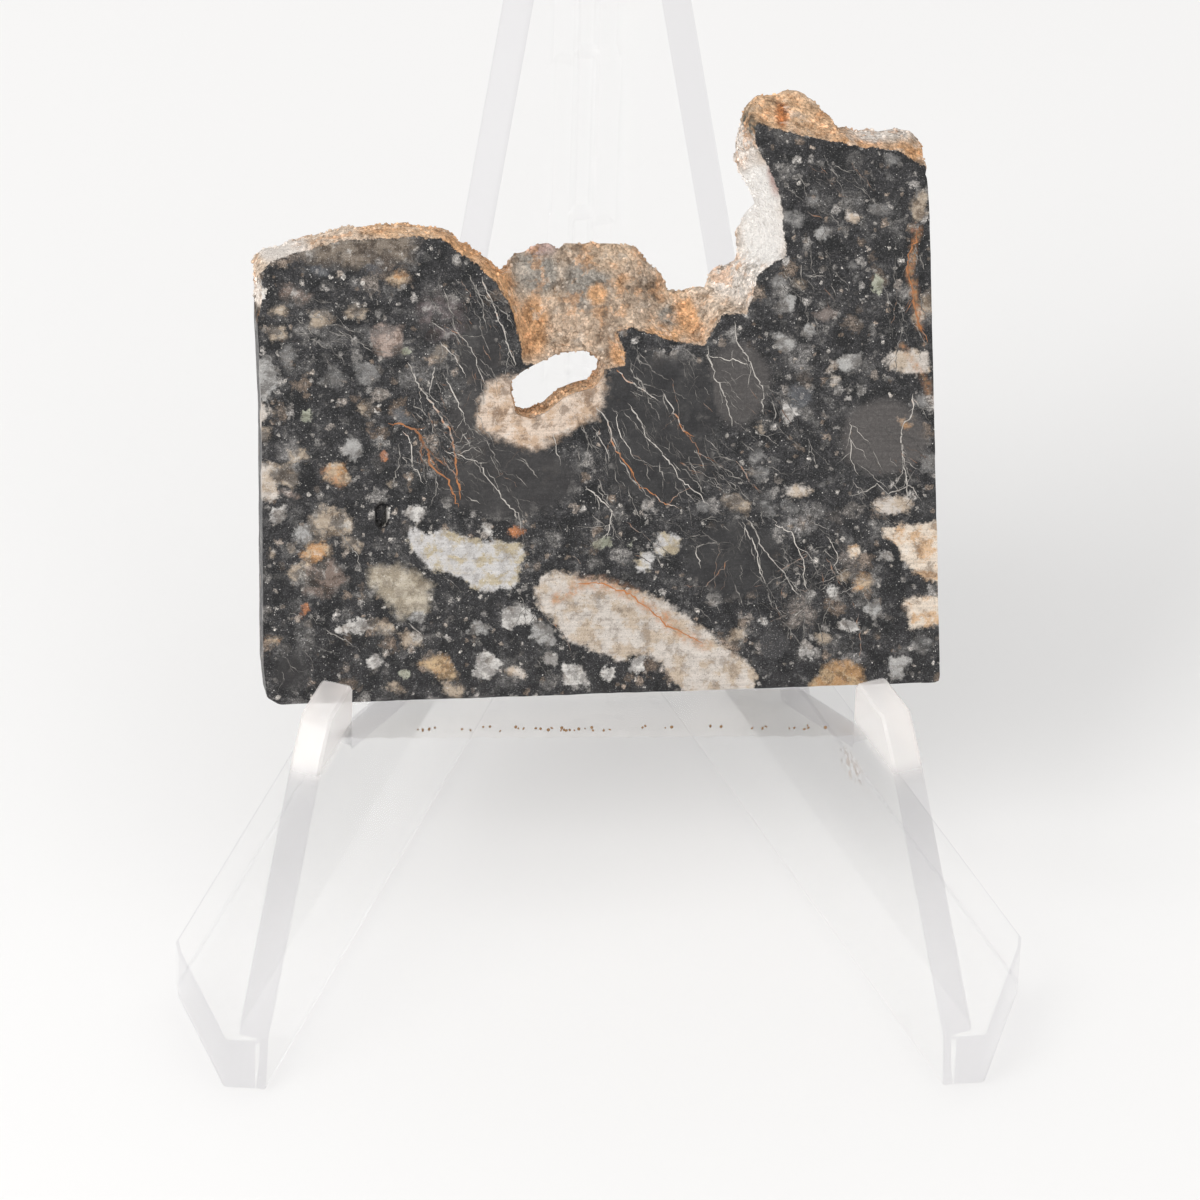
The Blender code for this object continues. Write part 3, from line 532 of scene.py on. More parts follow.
def stone_surface():
    """All points of the stone and its faces: front sheet, back sheet, and the rings of wall between them."""
    points, faces, border, rim, outward = stone_sheet()
    count = len(points)
    front = np.column_stack([points, -face_depth(points)])
    back_relief = 0.03 * rough(points, 2.5, 61)
    back = np.column_stack([points, -THICKNESS + back_relief])
    sawn = is_sawn_edge(points[rim])
    walls = []
    for ring in range(1, WALL_RINGS):
        share = ring / WALL_RINGS
        level = front[rim, 2] * (1 - share) + back[rim, 2] * share
        where = np.column_stack([points[rim, 0] * 0.8 + level * 0.6, points[rim, 1] + level])
        bulge = np.where(sawn, 0.015, 0.16) * rough(where, 0.7, 71)
        bulge += np.where(sawn, 0.0, 0.10) * (1 - abs(2 * share - 1) ** 3)
        walls.append(np.column_stack([points[rim] + outward * bulge[:, None], level]))
    everything = np.vstack([front, back] + walls)
    place_in_rim = np.full(count, -1)
    place_in_rim[rim] = np.arange(len(rim))

    def level_of(corner, ring):
        if ring == 0:
            return corner
        if ring == WALL_RINGS:
            return count + corner
        return 2 * count + (ring - 1) * len(rim) + place_in_rim[corner]

    wall_faces = []
    for ring in range(WALL_RINGS):
        near, far = border[:, 0], border[:, 1]
        wall_faces.append(np.column_stack([level_of(far, ring), level_of(near, ring),
                                           level_of(near, ring + 1), level_of(far, ring + 1)]))
    all_faces = np.vstack([faces, faces[:, ::-1] + count] + wall_faces)
    return everything, all_faces


def in_ellipse(points, across, up, half_length, half_height):
    reach = np.hypot((points[:, 0] - across) / half_length, (points[:, 1] - up) / half_height)
    return (1 - reach) * min(half_length, half_height)


def chip_ring(across, up, half_length, half_height, dice):
    """Outline of a small piece: a tilted lump with a few corners."""
    corners = dice.integers(5, 8)
    turns = (np.arange(corners) + dice.uniform(-0.3, 0.3, corners)) * 2 * math.pi / corners
    reach = dice.uniform(0.9, 1.3, corners)
    along, over = half_length * reach * np.cos(turns), half_height * reach * np.sin(turns)
    tilt = math.radians(dice.uniform(-40, 15))
    return list(zip(across + along * math.cos(tilt) - over * math.sin(tilt),
                    up + along * math.sin(tilt) + over * math.cos(tilt)))


def piece_fields(points):
    """For each point, how far it lies in the nearest piece of the breccia, and that piece's stone."""
    shaken = points + 0.32 * np.column_stack([rough(points, 1.0, 81), rough(points, 1.0, 91)])
    depth = np.full(len(points), -9.0)
    colour = np.zeros((len(points), 3))
    second = np.zeros((len(points), 3))
    fade = np.full(len(points), 0.1)
    mottle = np.zeros(len(points))
    cover = np.zeros(len(points))
    found = [(name, depth_inside(shaken, ring)) for name, ring in BIG_PIECES]
    dice = np.random.default_rng(CHIP_SEED)
    found += [(name, depth_inside(shaken, chip_ring(*where, dice))) for name, *where in PIECES]
    for name, within in found:
        stone = STONES[name]
        nearer = within > depth
        depth[nearer] = within[nearer]
        colour[nearer] = linear(stone.colour)
        second[nearer] = linear(stone.second)
        fade[nearer] = stone.fade
        mottle[nearer] = stone.mottle
        cover[nearer] = stone.cover
    return depth, colour, second, fade, mottle, cover


def crackle(line, dice, stray=VEIN_STRAY):
    """A line that follows the given one in short uneven steps and strays a little."""
    line = np.array(line, float)
    lengths = np.linalg.norm(np.diff(line, axis=0), axis=1)
    along = np.concatenate([[0.0], np.cumsum(lengths)])
    count = max(3, round(along[-1] / VEIN_STEP))
    marks = np.linspace(0.0, along[-1], count + 1)
    marks[1:-1] += dice.uniform(-0.35, 0.35, count - 1) * VEIN_STEP
    points = np.column_stack([np.interp(marks, along, line[:, axis]) for axis in (0, 1)])
    wander = np.cumsum(dice.normal(0.0, stray, points.shape), axis=0)
    wander -= wander[0] + np.linspace(0.0, 1.0, len(points))[:, None] * (wander[-1] - wander[0])
    return points + wander + dice.normal(0.0, 0.6 * stray, points.shape)


def in_big_piece(point):
    """Whether a point lies in one of the large pieces, where no hairline runs."""
    return any(inside(np.array([point]), np.array(ring, float))[0] for _, ring in BIG_PIECES)


def offshoots(parent, depth, dice):
    """Branches of a vein, and their own branches."""
    points, half, rust, clearness = parent
    found = []
    for spot in range(1, len(points) - 1):
        if dice.random() > BRANCHES_PER_MM * VEIN_STEP or in_big_piece(points[spot]):
            continue
        way = points[spot + 1] - points[spot - 1]
        heading = math.atan2(way[1], way[0]) + dice.choice((-1, 1)) * math.radians(dice.uniform(12, 48))
        end = points[spot] + dice.uniform(0.3, 1.7) * np.array([math.cos(heading), math.sin(heading)])
        line = crackle([points[spot], end], dice)
        line[0] = points[spot]
        thinning = np.linspace(0.75, 0.35, len(line))
        branch = (line, half[spot] * thinning, np.full(len(line), rust[spot]), clearness * dice.uniform(0.45, 0.9))
        found.append(branch)
        if depth > 1:
            found += offshoots(branch, depth - 1, dice)
    return found


def vein_paths():
    """Every vein, branch and hairline: its points, its half width and rust at each of them, how clear it is."""
    dice = np.random.RandomState(VEIN_SEED)
    paths = []
    for start_half, end_half, start_rust, end_rust, line in VEINS:
        points = crackle(line, dice)
        share = np.linspace(0.0, 1.0, len(points))
        half = VEIN_WIDTH * (start_half + (end_half - start_half) * share)
        vein = (points, half, start_rust + (end_rust - start_rust) * share, dice.uniform(0.6, 1.0))
        paths += [vein] + offshoots(vein, 2, dice)
    for many, slope, across, up, half_length, half_height in CRACK_SWARMS:
        for _ in range(many):
            turn, out = dice.uniform(0, 2 * math.pi), math.sqrt(dice.random())
            start = np.array([across + out * math.cos(turn) * half_length, up + out * math.sin(turn) * half_height])
            heading = math.radians(slope + dice.normal(0, 17))
            length = min(3.6, dice.lognormal(0.05, 0.5))
            end = start + length * np.array([math.cos(heading), math.sin(heading)])
            line = crackle([start, end], dice, HAIR_STRAY)
            half = np.full(len(line), HAIR_HALF_WIDTH * dice.uniform(0.6, 1.3))
            crack = (line, half, np.full(len(line), dice.choice((0.0, 0.05, 0.1, 0.1, 0.5))), dice.uniform(0.05, 0.5))
            if not in_big_piece(line[0]) and not in_big_piece(line[-1]):
                paths += [crack] + offshoots(crack, 1, dice)
    return paths


def vein_ribbons():
    """Thin ribbons that fill the veins, on the sawn face only: corners, faces, rust and clearness."""
    paths = vein_paths()
    points = np.vstack([path[0] for path in paths])
    clear_of_hole = depth_inside(points, HOLE) < -0.12
    from_pit = np.hypot((points[:, 0] - PIT[0]) / PIT[2], (points[:, 1] - PIT[1]) / PIT[3])
    sound = (broken_by(points) < -0.06) & (depth_inside(points, OUTLINE) > 0.25) & clear_of_hole & (from_pit > 1.3)
    dice = np.random.RandomState(VEIN_SEED + 1)
    corners, faces, rusts, clears = [], [], [], []
    start = total = 0
    for line, half, rust, clearness in paths:
        good = sound[start:start + len(line)]
        start += len(line)
        count = len(line) if good.all() else int(np.argmin(good))
        if count < 3:
            continue
        line = line[:count]
        way = np.gradient(line, axis=0)
        way /= np.maximum(1e-6, np.linalg.norm(way, axis=1))[:, None]
        side = np.column_stack([-way[:, 1], way[:, 0]])
        narrowing = np.minimum(1.0, np.minimum(np.arange(count) + 0.8, np.arange(count)[::-1] + 0.3) / 3.0)
        width = half[:count] * narrowing * dice.uniform(0.55, 1.45, count)
        left = line + side * width[:, None]
        right = line - side * width[:, None]
        corners.append(np.column_stack([np.vstack([right, left]), np.full(2 * count, VEIN_LIFT)]))
        near = total + np.arange(count - 1)
        faces.append(np.column_stack([near, near + 1, near + 1 + count, near + count]))
        rusts.append(np.tile(rust[:count], 2))
        clears.append(np.full(2 * count, clearness))
        total += 2 * count
    return np.vstack(corners), np.vstack(faces), np.concatenate(rusts), np.concatenate(clears)


def make_veins(finish):
    corners, faces, rust, clearness = vein_ribbons()
    mesh = bpy.data.meshes.new("vein_fill")
    mesh.from_pydata(corners.tolist(), [], faces.tolist())
    store(mesh, "place", corners)
    store(mesh, "vein_rust", rust)
    store(mesh, "vein_clearness", clearness)
    mesh.transform(slice_place())
    mesh.materials.append(finish)
    veins = bpy.data.objects.new("vein_fill", mesh)
    bpy.context.scene.collection.objects.link(veins)
    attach(veins, "root")


def rust_field(points):
    shaken = points + 0.2 * np.column_stack([rough(points, 0.7, 121), rough(points, 0.7, 131)])
    soaked = np.zeros(len(points))
    for half, line in RUST_LINES:
        gap = nearest_on(shaken, line, closed=False)[0]
        soaked = np.maximum(soaked, smooth_step(gap, 1.8 * half, 0.3 * half))
    return soaked


def melt_field(points):
    shaken = points + 0.35 * np.column_stack([rough(points, 1.4, 141), rough(points, 1.4, 151)])
    within = np.full(len(points), -9.0)
    paleness = np.zeros(len(points))
    for pale, *where in MELT_PIECES:
        depth = in_ellipse(shaken, *where)
        paleness = np.where(depth > within, pale, paleness)
        within = np.maximum(within, depth)
    return smooth_step(within, -0.30, 0.40), paleness


def crust_colours(points):
    shaken = points + 0.30 * np.column_stack([rough(points, 0.8, 161), rough(points, 0.8, 171)])
    colours = np.tile(linear(CRUST_GROUND), (len(points), 1))
    for colour, *where in CRUST_PATCHES:
        half = min(where[2:])
        share = smooth_step(in_ellipse(shaken, *where), -0.35 * half, 0.35 * half)[:, None]
        colours = colours * (1 - share) + np.array(linear(CRUST_COLOURS[colour])) * share
    return colours


def store(mesh, name, values):
    """Keeps one value, three lengths or a colour for each point of a mesh."""
    values = np.asarray(values, np.float32)
    if values.ndim == 1:
        mesh.attributes.new(name, "FLOAT", "POINT").data.foreach_set("value", values)
    else:
        mesh.attributes.new(name, "FLOAT_VECTOR", "POINT").data.foreach_set("vector", values.ravel())


def make_stone(finish):
    corners, faces = stone_surface()
    mesh = bpy.data.meshes.new("sawn_slice")
    mesh.from_pydata(corners.tolist(), [], faces.tolist())
    flat = corners[:, :2]
    behind = smooth_step(-corners[:, 2], 0.0, 1.0)
    wobble = np.column_stack([rough(corners[:, 1:], 0.8, 51), rough(corners[:, 1:], 0.8, 61)]) * behind[:, None]
    depth, colour, second, fade, mottle, cover = piece_fields(flat + corners[:, 2:] * PIECE_SLANT + 0.6 * wobble)
    store(mesh, "place", corners)
    store(mesh, "piece_depth", depth)
    store(mesh, "piece_colour", colour)
    store(mesh, "piece_second", second)
    store(mesh, "piece_fade", fade)
    store(mesh, "piece_mottle", mottle)
    store(mesh, "piece_cover", cover)
    store(mesh, "soaked_rust", rust_field(flat))
    melt, paleness = melt_field(flat)
    store(mesh, "melt", melt)
    store(mesh, "melt_paleness", paleness)
    store(mesh, "crust", crust_reach(corners))
    store(mesh, "crust_colour", crust_colours(flat))
    store(mesh, "crust_calm", crust_calm(flat))
    mesh.transform(slice_place())
    mesh.shade_smooth()
    mesh.set_sharp_from_angle(angle=math.radians(50.0))
    mesh.materials.append(finish)
    stone = bpy.data.objects.new("sawn_slice", mesh)
    bpy.context.scene.collection.objects.link(stone)
    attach(stone, "root")
    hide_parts("slice")
    return stone


def grain_tree(finish):
    """Rough grains strewn over a surface and half sunk in it."""
    tree = bpy.data.node_groups.new("strewn_grains", "GeometryNodeTree")
    asked = tree.interface
    asked.new_socket("Surface", in_out="INPUT", socket_type="NodeSocketGeometry")
    asked.new_socket("Grains to a square metre", in_out="INPUT", socket_type="NodeSocketFloat")
    asked.new_socket("Smallest", in_out="INPUT", socket_type="NodeSocketVector")
    asked.new_socket("Largest", in_out="INPUT", socket_type="NodeSocketVector")
    asked.new_socket("Grains", in_out="OUTPUT", socket_type="NodeSocketGeometry")
    start = tree.nodes.new("NodeGroupInput")
    end = tree.nodes.new("NodeGroupOutput")
    scatter = tree.nodes.new("GeometryNodeDistributePointsOnFaces")
    scatter.inputs["Seed"].default_value = 3
    grain = tree.nodes.new("GeometryNodeMeshIcoSphere")
    grain.inputs["Subdivisions"].default_value = 1
    grain.inputs["Radius"].default_value = 1.0
    turn = tree.nodes.new("FunctionNodeRandomValue")
    turn.data_type = "FLOAT_VECTOR"
    turn.inputs["Max"].default_value = (6.28, 6.28, 6.28)
    turn.inputs["Seed"].default_value = 11
    size = tree.nodes.new("FunctionNodeRandomValue")
    size.data_type = "FLOAT_VECTOR"
    size.inputs["Seed"].default_value = 12
    lay = tree.nodes.new("GeometryNodeInstanceOnPoints")
    real = tree.nodes.new("GeometryNodeRealizeInstances")
    dress = tree.nodes.new("GeometryNodeSetMaterial")
    dress.inputs["Material"].default_value = finish
    join = tree.links.new
    join(start.outputs["Surface"], scatter.inputs["Mesh"])
    join(start.outputs["Grains to a square metre"], scatter.inputs["Density"])
    join(start.outputs["Smallest"], size.inputs["Min"])
    join(start.outputs["Largest"], size.inputs["Max"])
    join(scatter.outputs["Points"], lay.inputs["Points"])
    join(grain.outputs["Mesh"], lay.inputs["Instance"])
    join(turn.outputs["Value"], lay.inputs["Rotation"])
    join(size.outputs["Value"], lay.inputs["Scale"])
    join(lay.outputs["Instances"], real.inputs["Geometry"])
    join(real.outputs["Geometry"], dress.inputs["Geometry"])
    join(dress.outputs["Geometry"], end.inputs["Grains"])
    return tree


def make_grains(stone, finish):
    """Strews grains over the broken crust. Each takes the colour of the crust beneath it."""
    mesh = stone.data.copy()
    form = bmesh.new()
    form.from_mesh(mesh)
    crust = form.verts.layers.float["crust"]
    calm = form.verts.layers.float["crust_calm"]
    bare = [face for face in form.faces if min(corner[crust] - corner[calm] for corner in face.verts) < GRAIN_ONSET]
    bmesh.ops.delete(form, geom=bare, context="FACES")
    form.to_mesh(mesh)
    form.free()
    strew("crust_grains", mesh, finish, GRAIN_DENSITY, GRAIN_LEAST, GRAIN_MOST)


def strew(name, mesh, finish, density, least, most):
    """A piece made of grains strewn over a mesh, which itself is left out."""
    base = bpy.data.objects.new(name, mesh)
    bpy.context.scene.collection.objects.link(base)
    tree = grain_tree(finish)
    step = base.modifiers.new("strewn_grains", "NODES")
    step.node_group = tree
    settings = {"Grains to a square metre": density, "Smallest": (least,) * 3, "Largest": (most,) * 3}
    for item in tree.interface.items_tree:
        if item.item_type == "SOCKET" and item.in_out == "INPUT" and item.name in settings:
            step[item.identifier] = settings[item.name]
    graph = bpy.context.evaluated_depsgraph_get()
    strewn = bpy.data.meshes.new_from_object(base.evaluated_get(graph))
    base.modifiers.remove(step)
    base.data = strewn
    strewn.shade_smooth()
    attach(base, "root")


class Paint:
    """Short ways to lay out the shader of one material."""

    def __init__(self, name):
        self.material = bpy.data.materials.new(name)
        self.material.use_nodes = True
        self.tree = self.material.node_tree
        self.shader = self.tree.nodes["Principled BSDF"]

    def feed(self, socket, source):
        if isinstance(source, bpy.types.NodeSocket):
            self.tree.links.new(source, socket)
        elif isinstance(source, str):
            socket.default_value = (*linear(source), 1.0)
        else:
            socket.default_value = source

    def node(self, kind, **settings):
        made = self.tree.nodes.new("ShaderNode" + kind)
        for name, value in settings.items():
            setattr(made, name, value)
        return made

    def stored(self, name, output="Fac"):
        return self.node("Attribute", attribute_name=name).outputs[output]

    def number(self, operation, first, second=0.0):
        made = self.node("Math", operation=operation)
        self.feed(made.inputs[0], first)
        self.feed(made.inputs[1], second)
        return made.outputs[0]

    def lengths(self, operation, first, second=(0.0, 0.0, 0.0)):
        made = self.node("VectorMath", operation=operation)
        self.feed(made.inputs[0], first)
        self.feed(made.inputs[1], second)
        return made.outputs[0]

    def band(self, value, low, high, least=0.0, most=1.0):
        """Nothing at low and everything at high, smooth between them."""
        made = self.node("MapRange", interpolation_type="SMOOTHSTEP")
        for name, source in (("Value", value), ("From Min", low), ("From Max", high), ("To Min", least), ("To Max", most)):
            self.feed(made.inputs[name], source)
        return made.outputs["Result"]

    def blend(self, share, first, second, way="MIX"):
        made = self.node("Mix", data_type="RGBA", blend_type=way)
        self.feed(made.inputs[0], share)
        self.feed(made.inputs[6], first)
        self.feed(made.inputs[7], second)
        return made.outputs[2]

    def noise(self, where, scale, detail=3.0, roughness=0.55, output="Fac"):
        made = self.node("TexNoise")
        self.feed(made.inputs["Vector"], where)
        made.inputs["Scale"].default_value = scale
        made.inputs["Detail"].default_value = detail
        made.inputs["Roughness"].default_value = roughness
        return made.outputs[output]

    def cells(self, where, scale, feature="F1"):
        made = self.node("TexVoronoi", feature=feature)
        self.feed(made.inputs["Vector"], where)
        made.inputs["Scale"].default_value = scale
        return made.outputs

    def stretched(self, where, turn=(0.0, 0.0, 0.0), scale=(1.0, 1.0, 1.0)):
        made = self.node("Mapping")
        self.feed(made.inputs["Vector"], where)
        made.inputs["Rotation"].default_value = turn
        made.inputs["Scale"].default_value = scale
        return made.outputs[0]

    def bump(self, height, depth, under=None):
        made = self.node("Bump")
        made.inputs["Distance"].default_value = depth
        self.feed(made.inputs["Height"], height)
        if under is not None:
            self.feed(made.inputs["Normal"], under)
        return made.outputs["Normal"]


def shaken_place(paint, place, grain, amount):
    """The place moved about by noise, so that what is laid out on it gets ragged borders."""
    cloud = paint.noise(place, 1 / grain, 3.0, 0.6, "Color")
    centred = paint.lengths("SUBTRACT", cloud, (0.5, 0.5, 0.5))
    return paint.lengths("ADD", place, paint.lengths("MULTIPLY", centred, (amount, amount, amount)))


def fragments(paint, where, ragged, per_mm, chance, size, fade):
    """A share of the cells of a size, each with a soft ragged border; also two chance values of each cell."""
    cells = paint.cells(where, per_mm)
    channels = paint.node("SeparateColor")
    paint.feed(channels.inputs[0], cells["Color"])
    chosen = paint.number("GREATER_THAN", channels.outputs[0], 1 - chance)
    body = paint.band(paint.number("ADD", cells["Distance"], ragged), size + fade, size - fade)
    return paint.number("MULTIPLY", chosen, body), channels.outputs[1], channels.outputs[2]


def ground_colour(paint, place, patchy, grain, fine):
    """Dark ground of the breccia, with its fragments and specks."""
    melt = paint.stored("melt")
    open_ground = paint.number("SUBTRACT", 1.0, paint.number("MULTIPLY", melt, 0.92))
    clouds = paint.noise(shaken_place(paint, place, 1.5, 1.6), 0.8, 5.0, 0.66)
    colour = paint.blend(paint.band(clouds, 0.36, 0.58), "1b1b1c", "323132")
    colour = paint.blend(paint.band(clouds, 0.55, 0.68, 0.0, 0.7), colour, "62605e")
    even = paint.blend(paint.band(clouds, 0.35, 0.65), "2b2a2b", "383737")
    even = paint.blend(paint.stored("melt_paleness"), even, "575351")
    colour = paint.blend(paint.number("MULTIPLY", melt, 0.95), colour, even)
    loose_edge = paint.number("ADD", paint.number("MULTIPLY", paint.number("SUBTRACT", patchy, 0.5), 1.0),
                              paint.number("MULTIPLY", paint.number("SUBTRACT", grain, 0.5), 0.9))
    streaks = paint.noise(shaken_place(paint, place, 0.5, 0.5), 3.2, 4.0, 0.68)
    for per_mm, chance, size, fade, dark, light in FRAGMENT_SIZES:
        loose = shaken_place(paint, place, 0.8 / per_mm, 1.1 / per_mm)
        body, shade, warmth = fragments(paint, loose, loose_edge, per_mm, chance, size, fade)
        tone = paint.blend(paint.number("POWER", shade, 1.6), dark, light)
        tone = paint.blend(paint.band(warmth, 0.80, 0.97, 0.0, 0.7), tone, "83705f")
        tone = paint.blend(1.0, tone, paint.band(streaks, 0.3, 0.7, 0.45, 1.45), "MULTIPLY")
        share = paint.number("MULTIPLY", body, open_ground)
        share = paint.number("MULTIPLY", share, paint.band(shade, 0.0, 1.0, 0.55, 1.0))
        colour = paint.blend(share, colour, tone)
    uneven = paint.number("MULTIPLY", paint.number("SUBTRACT", fine, 0.5), 0.6)
    for per_mm, chance, size in ((3.4, 0.05, 0.14), (6.5, 0.10, 0.20), (9.5, 0.12, 0.26)):
        specks, shade, _ = fragments(paint, place, uneven, per_mm, chance, size, 0.04)
        bright = paint.number("MULTIPLY", paint.number("MULTIPLY", specks, open_ground), shade)
        bright = paint.number("MULTIPLY", bright, paint.band(streaks, 0.40, 0.60, 0.25, 1.0))
        colour = paint.blend(bright, colour, "dcd8d2")
    dust = paint.number("MULTIPLY", paint.band(fine, 0.60, 0.72, 0.0, 0.35), open_ground)
    colour = paint.blend(dust, colour, "a19e9b")
    strength = paint.number("ADD", paint.number("MULTIPLY", open_ground, 0.75), 0.25)
    contrast = paint.number("MULTIPLY", paint.band(grain, 0.30, 0.70, 0.45, 1.6), paint.band(fine, 0.34, 0.66, 0.6, 1.45))
    return paint.blend(strength, colour, paint.blend(1.0, colour, contrast, "MULTIPLY"))


def stone_finish():
    paint = Paint("sawn_breccia")
    place = paint.stored("place", "Vector")
    patchy = paint.noise(place, 1.7, 5.0, 0.65)
    grain = paint.noise(place, 5.5, 4.0, 0.65)
    fine = paint.noise(place, 14.0, 3.0, 0.6)
    centred = paint.number("SUBTRACT", grain, 0.5)
    colour = ground_colour(paint, place, patchy, grain, fine)

    # Named pieces of stone
    ragged = paint.number("ADD", paint.number("MULTIPLY", paint.number("SUBTRACT", patchy, 0.5), 0.85),
                          paint.number("MULTIPLY", centred, 0.50))
    depth = paint.number("ADD", paint.stored("piece_depth"), ragged)
    fade = paint.stored("piece_fade")
    back_fade = paint.number("MULTIPLY", fade, -1.0)
    share = paint.number("MULTIPLY", paint.band(depth, back_fade, fade), paint.stored("piece_cover"))
    share = paint.number("MULTIPLY", share, paint.band(patchy, 0.25, 0.45, 0.7, 1.0))
    share = paint.number("MULTIPLY", share, paint.band(fine, 0.30, 0.44, 0.65, 1.0))
    veiled = paint.noise(shaken_place(paint, place, 0.8, 0.8), 1.1, 5.0, 0.7)
    stains = paint.noise(shaken_place(paint, paint.lengths("ADD", place, (9.0, 4.0, 0.0)), 0.6, 0.6), 0.9, 5.0, 0.66)
    own = paint.stored("piece_colour", "Color")
    own = paint.blend(paint.band(stains, 0.46, 0.58), own, paint.stored("piece_second", "Color"))
    dull = paint.blend(1.0, own, "a39b94", "MULTIPLY")
    bright = paint.blend(0.5, own, "e6e1da")
    mottled = paint.blend(paint.band(veiled, 0.38, 0.52), dull, own)
    mottled = paint.blend(paint.band(veiled, 0.55, 0.68), mottled, bright)
    mottled = paint.blend(paint.band(grain, 0.44, 0.32, 0.0, 0.4), mottled, "6e6862")
    own = paint.blend(paint.stored("piece_mottle"), own, mottled)
    own = paint.blend(paint.band(fine, 0.42, 0.28, 0.0, 0.6), own, "5b554f")
    own = paint.blend(paint.band(fine, 0.58, 0.72, 0.0, 0.5), own, "efece8")
    colour = paint.blend(share, colour, own)

    # Rust, and the fine lines left by the saw
    rusty = paint.number("MULTIPLY", paint.stored("soaked_rust"), paint.band(patchy, 0.38, 0.60, 0.1, 0.75))
    colour = paint.blend(rusty, colour, paint.blend(paint.band(grain, 0.4, 0.6), "a3876a", "b97c4c"))
    marks = paint.noise(paint.stretched(place, scale=(0.15, 7.0, 1.0)), 1.0, 2.0, 0.5)
    colour = paint.blend(1.0, colour, paint.band(marks, 0.3, 0.7, 0.91, 1.08), "MULTIPLY")

    # Broken crust, in crumbs of several colours, with painted shade in patches and in the crevices between the crumbs
    border = paint.number("ADD", paint.stored("crust"), paint.number("MULTIPLY", centred, 0.30))
    crust = paint.band(border, -0.03, 0.04)
    calm = paint.stored("crust_calm")
    lively = paint.number("SUBTRACT", 1.0, calm)
    skin = paint.stored("crust_colour", "Color")
    shadow = paint.blend(1.0, skin, "beb8b2", "MULTIPLY")
    skin = paint.blend(paint.number("MULTIPLY", paint.band(veiled, 0.50, 0.38), lively), skin, shadow)
    skin = paint.blend(paint.number("MULTIPLY", paint.band(stains, 0.50, 0.62, 0.0, 0.55), lively), skin, "daa97f")
    skin = paint.blend(paint.number("MULTIPLY", paint.band(stains, 0.45, 0.34, 0.0, 0.45), lively), skin, "efe0d0")
    crumbs = paint.cells(shaken_place(paint, place, 0.4, 0.35), 2.3)
    crumb_tone = paint.node("SeparateColor")
    paint.feed(crumb_tone.inputs[0], crumbs["Color"])
    small = paint.cells(shaken_place(paint, place, 0.2, 0.15), 6.5)
    small_tone = paint.node("SeparateColor")
    paint.feed(small_tone.inputs[0], small["Color"])
    tones = paint.number("MULTIPLY", paint.band(crumb_tone.outputs[0], 0.0, 1.0, 0.84, 1.16),
                         paint.band(small_tone.outputs[1], 0.0, 1.0, 0.78, 1.24))
    tones = paint.number("MULTIPLY", tones, paint.band(grain, 0.3, 0.7, 0.78, 1.25))
    varied = paint.number("SUBTRACT", 1.0, paint.number("MULTIPLY", calm, 0.75))
    skin = paint.blend(varied, skin, paint.blend(1.0, skin, tones, "MULTIPLY"))
    # Painted shade: dark brown where the fine noise is low, for the shaded crevices between the crumbs
    crevice_shade = paint.number("MULTIPLY", paint.band(fine, 0.40, 0.28, 0.0, 0.5), varied)
    skin = paint.blend(crevice_shade, skin, "66564a")
    colour = paint.blend(crust, colour, skin)
    paint.feed(paint.shader.inputs["Base Color"], colour)

    # The sawn face is satin; the crust is crumbly and dull
    sawn_rough = paint.band(marks, 0.3, 0.7, 0.40, 0.52)
    roughness = paint.number("ADD", sawn_rough, paint.number("MULTIPLY", crust, 0.45))
    paint.feed(paint.shader.inputs["Roughness"], roughness)
    paint.shader.inputs["Specular IOR Level"].default_value = 0.3
    round_crumbs = paint.number("ADD", paint.number("MULTIPLY", crumbs["Distance"], -0.5),
                                paint.number("MULTIPLY", small["Distance"], -0.35))
    crumble = paint.number("ADD", round_crumbs, paint.number("ADD", paint.number("MULTIPLY", grain, 0.5),
                                                             paint.number("MULTIPLY", fine, 0.25)))
    height = paint.number("ADD", paint.number("MULTIPLY", crumble, crust), paint.number("MULTIPLY", marks, 0.012))
    paint.feed(paint.shader.inputs["Normal"], paint.bump(height, 0.00028))
    return paint.material


def vein_finish():
    """Fill of the veins: white where they are fresh, orange where they have rusted, greyer where they are faint."""
    paint = Paint("vein_fill")
    place = paint.stored("place", "Vector")
    uneven = paint.number("SUBTRACT", paint.noise(place, 2.5, 4.0, 0.65), 0.5)
    rust = paint.number("ADD", paint.stored("vein_rust"), paint.number("MULTIPLY", uneven, 1.4))
    colour = paint.blend(paint.band(rust, 0.3, 0.75), "cbc5bd", "b97b4d")
    clear = paint.number("ADD", paint.stored("vein_clearness"), paint.number("MULTIPLY", uneven, 1.3))
    colour = paint.blend(paint.band(clear, 0.0, 1.0), "454342", colour)
    paint.feed(paint.shader.inputs["Base Color"], colour)
    paint.shader.inputs["Roughness"].default_value = 0.6
    paint.shader.inputs["Specular IOR Level"].default_value = 0.3
    return paint.material


